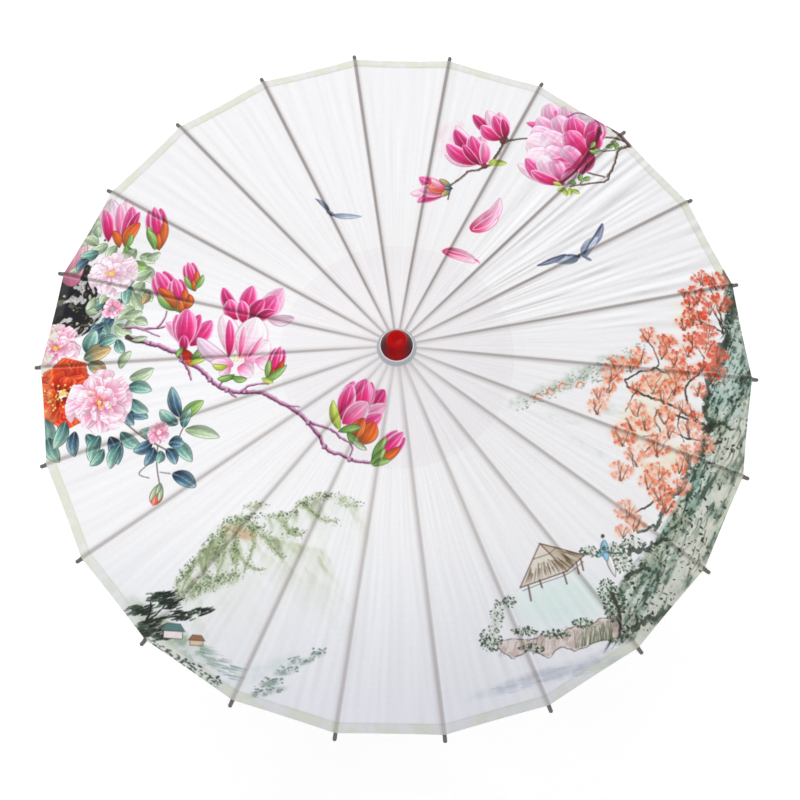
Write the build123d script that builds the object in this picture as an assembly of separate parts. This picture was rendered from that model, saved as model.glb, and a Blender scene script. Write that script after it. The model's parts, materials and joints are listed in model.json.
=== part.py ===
from build123d import *
import math
import os

# Folding parasol with bamboo ribs and a printed cloth canopy, opened.
# Millimetres, +Z up, the shaft on the Z axis, the foot of the handle at Z = 0.
# Each rib and its strut lie in one upright plane through the shaft, and the rib,
# the strut and the two pivot rings make an isosceles triangle, so the runner slides
# straight down the shaft as the ribs close.

# Driving dimensions
rib_count = 22
head_z = 540.0            # height of the ribs' pivots in the head
pivot_radius = 15.0       # radius of the pivot rings in the head and the runner
tip_radius = 415.0        # radius of the rib tips with the parasol open
open_slope = 13.0         # ribs below the horizontal, open
strut_length = 195.0      # head pivot to mid joint, and mid joint to runner pivot

# Ribs: depth is measured up and down from the line through the pivots
tongue_width = 1.6
tongue_round = 2.2
tongue_length = 12.0
rib_width_inner = 2.4
rib_width_outer = 4.2
rib_under = 1.2
rib_over = 3.4
shoulder_end = 16.0
tip_length = 7.0
tip_round = 2.3
mid_slot_width = 1.9
mid_slot_roof = 2.3
mid_slot_inward = 9.0
mid_slot_outward = 48.0
mid_pin_radius = 0.7

# Struts
strut_width = 3.0
strut_half_depth = 1.6
strut_round = 1.8
strut_thin_outer = 48.0   # thin stretch that lies in the rib's slot
strut_thin_inner = 14.0   # thin stretch that lies in the runner's slot

# Pivot rings, notched head and runner
wire_radius = 0.5
wire_hole_radius = 0.6
running_gap = 0.08
notch_radius = 19.0
notch_width = 2.0
notch_depth_radius = 12.4
notch_clear = 2.6
head_below = 6.0
head_above = 5.0
runner_sleeve_radius = 9.5
runner_sleeve_length = 16.0

# Shaft and handle
shaft_radius = 5.5
shaft_foot_z = 20.0
shaft_above_head = 20.0
slide_gap = 0.1
handle_radius = 10.0
handle_top_z = 118.0
handle_neck_radius = 7.0
handle_neck_length = 10.0
cap_thickness = 5.0
cap_round = 3.0

# Spring catch that holds the runner up, and the peg that stops it
catch_thickness = 1.6
catch_length = 32.0
catch_reach = 9.0
catch_gap = 0.4
catch_slot_width = 1.8
catch_slot_depth = 8.0
catch_pin_radius = 0.6
peg_radius = 1.0
peg_half_length = 8.0
peg_gap = 1.2

# Cloth, lining and edge ribbon, stacked on the ribs
cloth_gap = 0.3
lining_thickness = 0.3
cloth_thickness = 0.4
ribbon_thickness = 0.3
ribbon_width = 9.0
cloth_hole_radius = 19.4
lining_radius = 128.0
rim_setback = 8.5         # the ribs stand out past the cloth by this much

# Collar and finial
collar_foot_radius = 22.5
collar_top_radius = 19.0
collar_height = 6.5
collar_lift = 3.1
collar_wall = 2.9
finial_foot_radius = 18.0
finial_top_radius = 10.5
finial_height = 20.0
finial_dimple_radius = 3.0
finial_dimple_depth = 1.2

# Derived sizes
slope = math.radians(open_slope)
rib_length = (tip_radius - pivot_radius) / math.cos(slope)
rib_body_length = rib_length - tip_length
mid_radius = pivot_radius + strut_length * math.cos(slope)
mid_z = head_z - strut_length * math.sin(slope)
runner_z = head_z - 2 * strut_length * math.sin(slope)
runner_foot_z = runner_z - head_below - runner_sleeve_length
rim_radius = pivot_radius + (rib_length - rim_setback) * math.cos(slope)
sector = 360.0 / rib_count

os.makedirs("parts", exist_ok=True)


def save(shape, node):
    shape.label = node
    export_step(shape, f"parts/{node}.step")


def around(shape, index):
    """The shape turned about the shaft to the place of one rib."""
    return Rot(0, 0, sector * index) * shape


def ring_of(major, minor, height):
    return Pos(0, 0, height) * Torus(major, minor)


def cross_pin(radius, length, x, z):
    """A pin along Y through the point (x, z)."""
    return Pos(x, 0, z) * Rot(90, 0, 0) * Cylinder(radius, length)


def bar(side_points, end_circles, half_widths):
    """A flat bar along +X: a side outline in XZ, narrowed in plan to the widths given."""
    side = make_face(Polyline(*side_points, close=True))
    for x, radius in end_circles:
        side += Pos(x, 0) * Circle(radius)
    upright = extrude(Plane.XZ * side, amount=5, both=True)
    left = [(x, half) for x, half in half_widths]
    right = [(x, -half) for x, half in reversed(half_widths)]
    plan = make_face(Polyline(*left, *right, close=True))
    return upright & extrude(plan, amount=10, both=True)


def rib_width_at(distance):
    share = (distance - shoulder_end) / (rib_body_length - shoulder_end)
    return rib_width_inner + share * (rib_width_outer - rib_width_inner)


def make_rib():
    """Rib, its mid pin and its tip, along +X from the head pivot at the origin."""
    side = [
        (0, -rib_under),
        (rib_body_length, -rib_under),
        (rib_body_length, rib_over),
        (shoulder_end, rib_over),
        (tongue_length / 2, tongue_round),
        (0, tongue_round),
    ]
    widths = [
        (-tongue_round, tongue_width / 2),
        (tongue_length, tongue_width / 2),
        (shoulder_end, rib_width_inner / 2),
        (rib_body_length, rib_width_outer / 2),
    ]
    rib = bar(side, [(0, tongue_round)], widths)
    slot_length = mid_slot_inward + mid_slot_outward
    slot_height = mid_slot_roof + 2 * rib_under
    slot = Pos(
        strut_length - mid_slot_inward + slot_length / 2,
        0,
        mid_slot_roof - slot_height / 2,
    ) * Box(slot_length, mid_slot_width, slot_height)
    pin_length = rib_width_at(strut_length) - 0.2
    pin = cross_pin(mid_pin_radius, pin_length, strut_length, 0)
    rib = rib - slot - pin - cross_pin(wire_hole_radius, 4, 0, 0)
    tip_height = (rib_over - rib_under) / 2
    straight = tip_length - tip_round
    tip = Pos(rib_body_length + straight / 2, 0, tip_height) * Rot(0, 90, 0) * Cylinder(tip_round, straight)
    tip += Pos(rib_body_length + straight, 0, tip_height) * Sphere(tip_round)
    return [rib, pin, tip]


def make_strut():
    """Strut along +X from the mid joint at the origin to the runner pivot."""
    depth = strut_half_depth
    side = [(0, -depth), (strut_length, -depth), (strut_length, depth), (0, depth)]
    ends = [(0, strut_round), (strut_length, strut_round)]
    widths = [
        (-strut_round, tongue_width / 2),
        (strut_thin_outer, tongue_width / 2),
        (strut_thin_outer + 4, strut_width / 2),
        (strut_length - strut_thin_inner - 4, strut_width / 2),
        (strut_length - strut_thin_inner, tongue_width / 2),
        (strut_length + strut_round, tongue_width / 2),
    ]
    strut = bar(side, ends, widths)
    strut -= cross_pin(mid_pin_radius + running_gap, 4, 0, 0)
    return strut - cross_pin(wire_hole_radius, 4, strut_length, 0)


def notches(low_z, high_z):
    """The radial slots of the head or the runner, between two heights."""
    length = notch_radius + 2 - notch_depth_radius
    middle = notch_depth_radius + length / 2
    height = high_z - low_z
    cutter = Pos(middle, 0, low_z + height / 2) * Box(length, notch_width, height)
    return [around(cutter, index) for index in range(rib_count)]


def between(radius, low_z, high_z):
    return Pos(0, 0, (low_z + high_z) / 2) * Cylinder(radius, high_z - low_z)


def make_head():
    head = between(notch_radius, head_z - head_below, head_z + head_above)
    head -= between(shaft_radius, head_z - 2 * head_below, head_z + 2 * head_above)
    head -= notches(head_z - head_below - 1, head_z + notch_clear)
    return head - ring_of(pivot_radius, wire_radius, head_z)


def make_runner():
    drum = between(notch_radius, runner_z - head_below, runner_z + head_below)
    sleeve = between(runner_sleeve_radius, runner_foot_z, runner_z)
    runner = drum + sleeve
    runner -= between(shaft_radius + slide_gap, runner_foot_z - 1, runner_z + 2 * head_below)
    runner -= notches(runner_z - notch_clear, runner_z + head_below + 1)
    return runner - ring_of(pivot_radius, wire_radius, runner_z)


def slope_height(radius, lift):
    """Height of a sheet that lies a given distance above the ribs' pivot line."""
    return head_z + lift / math.cos(slope) - (radius - pivot_radius) * math.tan(slope)


def rib_point(radius, index, lift):
    angle = math.radians(sector * index)
    return (radius * math.cos(angle), radius * math.sin(angle), slope_height(radius, lift))


def sheet(inner_radius, outer_radius, lift, thickness):
    """A cloth stretched flat from rib to rib: one flat panel between each two ribs."""
    upright = thickness / math.cos(slope)
    panels = []
    for index in range(rib_count):
        corners = [
            rib_point(inner_radius, index, lift),
            rib_point(outer_radius, index, lift),
            rib_point(outer_radius, index + 1, lift),
            rib_point(inner_radius, index + 1, lift),
        ]
        panel = make_face(Polyline(*corners, close=True))
        panels.append(extrude(panel, amount=upright, dir=(0, 0, 1)))
    return Part() + panels


def make_shaft():
    shaft = between(shaft_radius, shaft_foot_z, head_z + shaft_above_head)
    slot_top = runner_foot_z + 2
    slot_foot = runner_foot_z - catch_length - 4
    slot = Pos(shaft_radius + 1 - catch_slot_depth / 2 - 0.5, 0, (slot_top + slot_foot) / 2) * Box(
        catch_slot_depth + 1, catch_slot_width, slot_top - slot_foot
    )
    return shaft - slot - make_catch_pin() - make_peg()


def catch_pin_z():
    return runner_foot_z - catch_length


def make_catch():
    """Sprung tongue in the shaft, its nose just under the open runner."""
    nose_z = runner_foot_z - catch_gap
    points = [
        (-1.5, catch_pin_z() - 2),
        (2.5, catch_pin_z() - 2),
        (catch_reach, nose_z - 3),
        (catch_reach, nose_z),
        (1.0, nose_z),
    ]
    face = make_face(Polyline(*points, close=True))
    return extrude(Plane.XZ * face, amount=catch_thickness / 2, both=True) - make_catch_pin()


def make_catch_pin():
    return cross_pin(catch_pin_radius, 2 * shaft_radius - 0.6, 0, catch_pin_z())


def make_peg():
    peg_z = runner_z + head_below + peg_gap + peg_radius
    return cross_pin(peg_radius, 2 * peg_half_length, 0, peg_z)


def turned(points):
    """A body turned about the shaft from its half section, as (radius, height)."""
    return revolve(Plane.XZ * make_face(Polyline(*points, close=True)), Axis.Z)


def make_handle():
    handle = between(handle_radius, cap_thickness, handle_top_z - handle_neck_length)
    neck = turned([
        (0, handle_top_z - handle_neck_length),
        (handle_radius, handle_top_z - handle_neck_length),
        (handle_neck_radius, handle_top_z),
        (0, handle_top_z),
    ])
    return handle + neck - between(shaft_radius, shaft_foot_z, handle_top_z + 1)


def make_handle_cap():
    cap = between(handle_radius, 0, cap_thickness)
    return fillet(cap.edges().sort_by(Axis.Z)[0], cap_round)


def make_collar():
    foot = head_z + collar_lift
    rise = (collar_foot_radius - collar_top_radius) * math.tan(slope)
    return turned([
        (shaft_radius, head_z + head_above),
        (notch_radius, head_z + head_above),
        (collar_foot_radius - collar_wall, foot + rise),
        (collar_foot_radius, foot),
        (collar_top_radius, foot + collar_height),
        (shaft_radius, foot + collar_height),
    ])


def make_finial():
    foot = head_z + collar_lift + collar_height
    top = foot + finial_height
    cone = turned([(0, foot), (finial_foot_radius, foot), (finial_top_radius, top), (0, top)])
    cone = fillet(cone.edges().filter_by(GeomType.CIRCLE), 1.2)
    ball_radius = (finial_dimple_radius**2 + finial_dimple_depth**2) / (2 * finial_dimple_depth)
    dimple = Pos(0, 0, top + ball_radius - finial_dimple_depth) * Sphere(ball_radius)
    return cone - dimple - between(shaft_radius, foot - 1, head_z + shaft_above_head)


# Ribs and struts, one node each, by turning the first about the shaft
rib_place = Pos(pivot_radius, 0, head_z) * Rot(0, open_slope, 0)
strut_place = Pos(mid_radius, 0, mid_z) * Rot(0, 180 - open_slope, 0)
rib_pieces = [rib_place * piece for piece in make_rib()]
strut = strut_place * make_strut()
for index in range(rib_count):
    name = f"{index + 1:02d}"
    save(Compound(children=[around(piece, index) for piece in rib_pieces]), f"rib_{name}")
    save(around(strut, index), f"strut_{name}")

# Head and runner with the wire rings that the ribs and struts are threaded on
save(make_head(), "head")
save(ring_of(pivot_radius, wire_radius, head_z), "head_ring")
save(make_runner(), "runner")
save(ring_of(pivot_radius, wire_radius, runner_z), "runner_ring")

# Shaft, handle and the parts that hold the runner
save(make_shaft(), "shaft")
save(make_handle(), "handle")
save(make_handle_cap(), "handle_cap")
save(make_catch(), "spring_catch")
save(make_catch_pin(), "catch_pin")
save(make_peg(), "stop_peg")

# Cloth, from the ribs upwards
lining_lift = rib_over + cloth_gap
cloth_lift = lining_lift + lining_thickness
ribbon_lift = cloth_lift + cloth_thickness
save(sheet(cloth_hole_radius, lining_radius, lining_lift, lining_thickness), "crown_lining")
save(sheet(cloth_hole_radius, rim_radius, cloth_lift, cloth_thickness), "canopy")
save(sheet(rim_radius - ribbon_width, rim_radius, ribbon_lift, ribbon_thickness), "edge_ribbon")

# Collar and finial over the head
save(make_collar(), "collar")
save(make_finial(), "finial")
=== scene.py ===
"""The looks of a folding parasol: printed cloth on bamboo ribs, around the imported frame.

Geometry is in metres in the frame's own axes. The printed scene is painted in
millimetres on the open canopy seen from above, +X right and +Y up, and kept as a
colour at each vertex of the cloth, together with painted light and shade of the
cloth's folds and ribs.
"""

import json
import math

import bpy
import numpy as np
from mathutils import Matrix, Vector

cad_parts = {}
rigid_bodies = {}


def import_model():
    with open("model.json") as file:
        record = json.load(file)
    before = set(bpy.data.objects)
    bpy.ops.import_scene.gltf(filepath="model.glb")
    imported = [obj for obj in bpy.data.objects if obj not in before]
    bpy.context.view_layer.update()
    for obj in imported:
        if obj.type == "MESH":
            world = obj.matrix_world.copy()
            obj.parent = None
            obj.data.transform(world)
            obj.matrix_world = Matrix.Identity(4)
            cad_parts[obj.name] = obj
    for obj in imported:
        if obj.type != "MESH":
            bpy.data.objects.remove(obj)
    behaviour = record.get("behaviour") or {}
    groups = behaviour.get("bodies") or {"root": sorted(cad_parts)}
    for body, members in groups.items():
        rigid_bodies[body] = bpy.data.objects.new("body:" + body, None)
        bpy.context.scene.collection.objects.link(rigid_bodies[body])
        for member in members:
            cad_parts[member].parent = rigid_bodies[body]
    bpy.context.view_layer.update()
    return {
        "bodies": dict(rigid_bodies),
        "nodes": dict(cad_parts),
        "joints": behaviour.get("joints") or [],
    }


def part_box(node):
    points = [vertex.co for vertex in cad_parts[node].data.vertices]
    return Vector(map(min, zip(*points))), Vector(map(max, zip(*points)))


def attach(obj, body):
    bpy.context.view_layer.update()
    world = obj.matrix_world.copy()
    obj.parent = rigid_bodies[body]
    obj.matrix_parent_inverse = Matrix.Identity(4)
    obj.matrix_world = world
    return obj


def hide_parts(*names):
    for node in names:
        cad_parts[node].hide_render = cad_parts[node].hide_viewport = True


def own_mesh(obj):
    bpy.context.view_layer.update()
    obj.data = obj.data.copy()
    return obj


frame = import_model()

# ---------------------------------------------------------------- sizes from the frame
MM = 0.001
joints = {joint["name"]: joint for joint in frame["joints"]}
head_pivot = joints["fold"]["pos_m"]
mid_joint = joints["strut_01_hinge"]["pos_m"]
pivot_radius = head_pivot[0]
head_z = head_pivot[2]
slope = math.atan2(head_z - mid_joint[2], mid_joint[0] - pivot_radius)
rib_names = sorted(name for name in frame["bodies"] if name.startswith("rib_"))
strut_names = sorted(name for name in frame["bodies"] if name.startswith("strut_"))
rib_count = len(rib_names)
sector = 2 * math.pi / rib_count
half_sector = sector / 2

rim_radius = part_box("canopy")[1].x
hole_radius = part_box("head")[1].x + 0.4 * MM
lining_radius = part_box("crown_lining")[1].x
tip_start = rim_radius - 2 * MM      # where the dark end of a rib begins
cloth_half_thickness = 0.2 * MM
apex_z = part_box("canopy")[1].z - cloth_half_thickness + hole_radius * math.tan(slope)

# Cloth mesh and how it hangs
row_step = 0.85 * MM
column_step = 0.95 * MM
first_columns = 6
edge_scoop = 0.5          # mm that the rim curves in between two ribs
gore_sag = 1.6            # mm that a gore sags at the rim
rib_crease = 0.7          # mm that the cloth rides up over a rib
ribbon_width = 9.0 * MM
ribbon_lift = 0.35 * MM
turned_sides = 96         # flat sides that stand for a turned round


# ---------------------------------------------------------------- noise and blending
def lattice(ix, iy, seed):
    """A fixed pseudo-random value from 0 to 1 at each lattice point."""
    bits = (ix * 374761393 + iy * 668265263 + seed * 1442695041) & 0xFFFFFFFF
    bits = ((bits ^ (bits >> 13)) * 1274126177) & 0xFFFFFFFF
    return ((bits ^ (bits >> 16)) & 0xFFFF) / 65535.0


def noise(x, y, seed=0):
    """Smooth values from 0 to 1 between the lattice points."""
    ix, iy = np.floor(x).astype(np.int64), np.floor(y).astype(np.int64)
    fx, fy = x - ix, y - iy
    fx, fy = fx * fx * (3 - 2 * fx), fy * fy * (3 - 2 * fy)
    low = lattice(ix, iy, seed) * (1 - fx) + lattice(ix + 1, iy, seed) * fx
    high = lattice(ix, iy + 1, seed) * (1 - fx) + lattice(ix + 1, iy + 1, seed) * fx
    return low * (1 - fy) + high * fy


def cloudy(x, y, seed=0, octaves=3):
    """Noise at several sizes, added up."""
    total, weight = 0.0, 0.0
    for octave in range(octaves):
        share = 0.5**octave
        total = total + share * noise(x * 2**octave, y * 2**octave, seed + octave)
        weight += share
    return total / weight


def ramp(value, low, high):
    """0 below low, 1 above high, smooth between; low may be above high."""
    t = np.clip((value - low) / (high - low), 0, 1)
    return t * t * (3 - 2 * t)


def mixed(first, second, share):
    """One colour to a point, from the first to the second by its share."""
    first, second = np.asarray(first, float), np.asarray(second, float)
    return first + (second - first) * share[:, None]


# ---------------------------------------------------------------- cloth geometry
def columns_at(distance):
    """Number of cells across a gore panel at a distance from the shaft."""
    count = first_columns
    while 2 * distance * math.tan(half_sector) / count > column_step:
        count *= 2
    return count


def panel_rows(inner, outer):
    """Rows of a panel, as distances from the shaft square to the rim's straight edge."""
    start, end = inner * math.cos(half_sector), outer * math.cos(half_sector)
    return np.linspace(start, end, max(2, round((end - start) / row_step) + 1))


def panel_grid(inner, outer):
    """One rib's share of the cloth, from mid gore to mid gore, with the rib along +X.

    Gives plan points (along, across), the share of the way to mid gore, and faces."""
    points, faces = [], []
    before = None
    for distance in panel_rows(inner, outer):
        count = columns_at(distance)
        across = np.linspace(-1, 1, count + 1) * distance * math.sin(half_sector)
        along = (distance - np.abs(across) * math.sin(half_sector)) / math.cos(half_sector)
        first = len(points)
        points += list(zip(along, across))
        row = list(range(first, len(points)))
        if before:
            step = (len(row) - 1) // (len(before) - 1)
            for cell in range(len(before) - 1):
                outer_edge = row[cell * step : cell * step + step + 1]
                faces.append([before[cell], *outer_edge, before[cell + 1]])
        before = row
    return np.array(points), faces


def cloth_drop(along, across):
    """How far the flat gores lie below the apex, with the rib along +X."""
    return math.tan(slope) * (along + np.abs(across) * math.tan(half_sector))


def cloth_relief(x, y):
    """Height of the cloth's folds over the flat gores, in mm, at plan points in mm."""
    radius, angle = np.hypot(x, y), np.arctan2(y, x) % (2 * math.pi)
    gore = np.floor(angle / sector).astype(np.int64)
    share = angle / sector - gore
    open_span = np.sin(math.pi * share)
    reach = np.clip(radius / (rim_radius / MM), 0, 1)
    slack = 0.6 + 0.8 * lattice(gore, gore * 0, 3)
    sag = -gore_sag * slack * reach**1.5 * open_span**1.3
    from_rib = radius * np.sin(np.minimum(share, 1 - share) * sector)
    crease = rib_crease * np.exp(-((from_rib / 2.2) ** 2))
    # Stretch folds run out from the crown, each gore's fan turned a little its own way
    lean = (gore + 0.5) * sector + math.radians(7) * (lattice(gore, gore * 0 + 1, 5) - 0.3)
    beside = -x * np.sin(lean) + y * np.cos(lean)
    ahead = x * np.cos(lean) + y * np.sin(lean)
    folds = noise(beside / 5.5, ahead / 160, 11) + 0.45 * noise(beside / 2.6, ahead / 90, 12)
    taut = math.radians(38)
    pulled = np.exp(-(((angle - taut) / math.radians(24)) ** 2))
    patches = ramp(cloudy(x / 70, y / 70, 21), 0.35, 0.7)
    depth = 0.2 + 0.4 * patches + 2.2 * pulled * (0.5 + 0.5 * patches)
    folds = (folds - 0.7) * depth * open_span**0.7 * ramp(radius, 30, 110)
    puckers = 0.5 * (noise(angle * 40, radius / 50, 31) - 0.5)
    puckers = puckers * ramp(radius, 350, 400) * open_span
    return sag + crease + folds + puckers


def new_mesh_object(name, points, faces, smooth=True):
    mesh = bpy.data.meshes.new(name)
    mesh.from_pydata([tuple(point) for point in points], [], [list(face) for face in faces])
    mesh.polygons.foreach_set("use_smooth", [smooth] * len(mesh.polygons))
    mesh.update()
    piece = bpy.data.objects.new(name, mesh)
    bpy.context.scene.collection.objects.link(piece)
    return piece


def turned_to_rib(plan, index):
    """Plan points with the rib along +X, turned to the place of one rib."""
    angle = sector * index
    c, s = math.cos(angle), math.sin(angle)
    return np.stack([plan[:, 0] * c - plan[:, 1] * s, plan[:, 0] * s + plan[:, 1] * c], -1)


def scooped(plan):
    """The same points with the rim drawn in between the ribs."""
    along, across = plan[:, 0], plan[:, 1]
    distance = along * math.cos(half_sector) + np.abs(across) * math.sin(half_sector)
    aside = np.abs(across) / np.maximum(distance * math.sin(half_sector), 1e-9)
    near_rim = ramp(distance, rim_radius * 0.80, rim_radius * math.cos(half_sector))
    pull = edge_scoop * MM * (1 - (1 - aside) ** 2) * near_rim
    shrink = (1 - pull / np.maximum(distance, 1e-9))[:, None]
    return plan * shrink


def toward(x, y, degrees, reach):
    """The place at a distance from another, in a direction."""
    turn = math.radians(degrees)
    return (x + reach * math.cos(turn), y + reach * math.sin(turn))


def tie_to_rib(piece, index):
    """Moves with one rib, on a mesh of its own."""
    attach(piece, rib_names[index])
    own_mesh(piece)


# ---------------------------------------------------------------- brushes
def smooth_path(points, steps=6):
    """A curve through given points, as many short lengths."""
    p = np.array([points[0], *points, points[-1]], float)
    path = []
    for a, b, c, d in zip(p, p[1:], p[2:], p[3:]):
        for t in np.arange(steps) / steps:
            bend = (2 * a - 5 * b + 4 * c - d) * t * t + (3 * b - a - 3 * c + d) * t**3
            path.append(b + 0.5 * ((c - a) * t + bend))
    return np.array([*path, p[-1]])


class Painting:
    """Colours laid over the points of the cloth, in plan millimetres."""

    cell = 8.0      # side of one search square
    across = 200    # search squares on a side
    middle = 100    # number of the square at the crown

    def __init__(self, x, y, ground):
        self.x, self.y = x, y
        self.rgb = np.tile(np.array(ground, float), (len(x), 1))
        columns, rows = np.floor(x / self.cell).astype(int), np.floor(y / self.cell).astype(int)
        key = (rows + self.middle) * self.across + columns + self.middle
        self.order = np.argsort(key, kind="stable")
        self.starts = np.searchsorted(key[self.order], np.arange(self.across**2 + 1))

    def near(self, x, y, reach):
        """Indices of the points within a box around a place."""
        low_x, high_x = (math.floor((x + way * reach) / self.cell) + self.middle for way in (-1, 1))
        low_y, high_y = (math.floor((y + way * reach) / self.cell) + self.middle for way in (-1, 1))
        found = []
        for row in range(low_y, high_y + 1):
            first = self.starts[row * self.across + low_x]
            last = self.starts[row * self.across + high_x + 1]
            found.append(self.order[first:last])
        return np.concatenate(found)

    def lay(self, at, color, cover):
        """Lays a colour over points, by how fully it covers each."""
        color = np.asarray(color, float)
        self.rgb[at] += (color - self.rgb[at]) * np.clip(cover, 0, 1)[:, None]

    def petal(
        self, root, tip, width, tints, bend=0.0, belly=0.55, point=1.5, shade=0.12, cover=1.0, seed=0,
        frill=0.0, edge=1.0
    ):
        """A petal, sepal or leaf. tints: root, body, tip, rim and line colours."""
        (rx, ry), (tx, ty) = root, tip
        length = math.hypot(tx - rx, ty - ry)
        ax, ay = (tx - rx) / length, (ty - ry) / length
        at = self.near((rx + tx) / 2, (ry + ty) / 2, length / 2 + width / 2 + abs(bend) + 1)
        dx, dy = self.x[at] - rx, self.y[at] - ry
        t = (dx * ax + dy * ay) / length
        keep = (t > 0) & (t < 1)
        at, t, dx, dy = at[keep], t[keep], dx[keep], dy[keep]
        off = dy * ax - dx * ay - bend * 4 * t * (1 - t)
        shape = (t / belly) ** (point * belly) * ((1 - t) / (1 - belly)) ** (point * (1 - belly))
        half = width / 2 * shape
        if frill:
            half = half * (1 + frill * (noise(t * 7 + (off > 0) * 9, t * 0 + seed, 5) - 0.55))
        depth = half - np.abs(off)
        side = np.clip(off / np.maximum(half, 0.4), -1, 1)
        root_tint, body, tip_tint, rim, line = tints
        color = mixed(root_tint, body, ramp(t, 0.0, 0.55))
        color = mixed(color, tip_tint, ramp(t, 0.5, 1.0))
        fan = side * max(2.5, width / 3.0) * (0.75 + 0.25 * t) + 40
        streak = 0.65 * noise(fan, t * 1.2 + seed, 7 + seed) + 0.35 * noise(fan * 2.1, t * 1.6, 17 + seed)
        color = mixed(color, rim, 0.8 * ramp(np.abs(side), 0.45, 1.0) * ramp(t, 0.1, 0.5) * (0.3 + streak))
        color = mixed(color, rim, 0.8 * ramp(streak, 0.48, 0.72) * ramp(t, 0.2, 0.95))
        color = color * (1 + 0.22 * (streak - 0.5) - shade * side)[:, None]
        color = mixed(color, line, 0.9 * np.clip(1.15 - np.abs(depth - 0.35) / edge, 0, 1))
        self.lay(at, np.clip(color, 0, 1), cover * np.clip(depth + 0.45, 0, 1))

    def stroke(
        self, points, width, tint, end_width=None, dark=None, light=None, cover=1.0, steps=5, ragged=0.0,
        gnarl=0.0
    ):
        """A line through points; a dark and a light side make it a twig."""
        path = smooth_path(points, steps)
        if gnarl:
            kink = np.stack([noise(path[:, 0] / 4, path[:, 1] / 4, seed) for seed in (61, 67)], -1) - 0.5
            path = path + 2 * gnarl * kink
        end_width = width if end_width is None else end_width
        middle = (path.min(0) + path.max(0)) / 2
        at = self.near(*middle, np.ptp(path, axis=0).max() / 2 + width + 1)
        x, y = self.x[at], self.y[at]
        best = np.full(len(at), 1e9)
        side, share = np.zeros(len(at)), np.zeros(len(at))
        count = len(path) - 1
        for step, (a, b) in enumerate(zip(path, path[1:])):
            run = b - a
            size = max(float(run @ run), 1e-9)
            from_middle = np.abs(x - (a[0] + b[0]) / 2) + np.abs(y - (a[1] + b[1]) / 2)
            close = from_middle < math.sqrt(size) + 2 * width + 3
            px, py = x[close] - a[0], y[close] - a[1]
            t = np.clip((px * run[0] + py * run[1]) / size, 0, 1)
            away = np.hypot(px - t * run[0], py - t * run[1])
            nearer = away < best[close]
            where = np.flatnonzero(close)[nearer]
            best[where] = away[nearer]
            side[where] = (py * run[0] - px * run[1])[nearer]
            share[where] = (step + t[nearer]) / count
        half = (width + (end_width - width) * share) / 2
        if ragged:
            half = half * (1 + ragged * (noise(x / 2.5, y / 2.5, 3) - 0.5))
        hit = best < half + 1
        at, best, side, share, half = at[hit], best[hit], side[hit], share[hit], half[hit]
        color = np.tile(np.array(tint, float), (len(at), 1))
        level = np.sign(side) * best / np.maximum(half, 0.3)
        if dark is not None:
            color = mixed(color, dark, ramp(-level, 0.1, 0.8))
        if light is not None:
            color = mixed(color, light, ramp(level, 0.05, 0.6) * ramp(level, 1.1, 0.6))
        thin = np.minimum(1, half * 2 / 0.9)
        self.lay(at, color, cover * thin * np.clip(half - best + 0.5, 0, 1))

    def dab(self, x, y, size, tint, cover=1.0, angle=0.0, stretch=1.0, soft=1.0):
        """A small spot; size is half its length, in mm."""
        at = self.near(x, y, size + soft)
        c, s = math.cos(math.radians(angle)), math.sin(math.radians(angle))
        dx, dy = self.x[at] - x, self.y[at] - y
        away = np.hypot(dx * c + dy * s, (dy * c - dx * s) * stretch)
        self.lay(at, tint, cover * np.clip((size - away) / soft + 0.5, 0, 1))

    def wash(self, x, y, long, wide, tint, cover, angle=0.0, grain=14.0, seed=0, patch=0.7):
        """A soft pool of thin colour with a broken edge."""
        at = self.near(x, y, max(long, wide) * 1.15)
        c, s = math.cos(math.radians(angle)), math.sin(math.radians(angle))
        dx, dy = self.x[at] - x, self.y[at] - y
        away = np.hypot((dx * c + dy * s) / long, (dy * c - dx * s) / wide)
        cloud = cloudy(self.x[at] / grain, self.y[at] / grain, seed + 40, 4)
        self.lay(at, tint, cover * ramp(away, 1.1, 0.35) * (1 - patch + patch * ramp(cloud, 0.35, 0.62)))

    def inside(self, outline, soft=1.5):
        """Points in a closed outline, and how fully."""
        loop = smooth_path([*outline, outline[0]], 3)
        middle = (loop.min(0) + loop.max(0)) / 2
        at = self.near(*middle, np.ptp(loop, axis=0).max() / 2 + soft)
        x, y = self.x[at], self.y[at]
        within = np.zeros(len(at), bool)
        away = np.full(len(at), 1e9)
        for a, b in zip(loop, loop[1:]):
            crosses = (a[1] > y) != (b[1] > y)
            if a[1] != b[1]:
                within ^= crosses & (x < (b[0] - a[0]) * (y - a[1]) / (b[1] - a[1]) + a[0])
            run = b - a
            t = np.clip(((x - a[0]) * run[0] + (y - a[1]) * run[1]) / max(float(run @ run), 1e-9), 0, 1)
            away = np.minimum(away, np.hypot(x - a[0] - t * run[0], y - a[1] - t * run[1]))
        signed = np.where(within, away, -away)
        return at, np.clip(signed / soft + 0.5, 0, 1)


# ---------------------------------------------------------------- tints: root, body, tip, rim, line
HOT = ((0.64, 0.02, 0.24), (0.86, 0.15, 0.45), (0.93, 0.42, 0.68), (1.0, 0.87, 0.94), (1.0, 0.88, 0.95))
DEEP = ((0.42, 0.01, 0.16), (0.68, 0.05, 0.31), (0.84, 0.24, 0.52), (0.97, 0.68, 0.84), (0.97, 0.70, 0.84))
ROSE = ((0.80, 0.14, 0.42), (0.93, 0.46, 0.66), (0.97, 0.72, 0.84), (1.0, 0.92, 0.96), (1.0, 0.93, 0.97))
PALE = ((0.92, 0.40, 0.62), (0.97, 0.72, 0.84), (0.99, 0.88, 0.93), (1.0, 0.97, 0.99), (0.90, 0.52, 0.68))
MILK = ((0.94, 0.52, 0.70), (0.98, 0.86, 0.92), (1.0, 0.96, 0.98), (1.0, 0.99, 1.0), (0.90, 0.48, 0.66))
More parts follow.
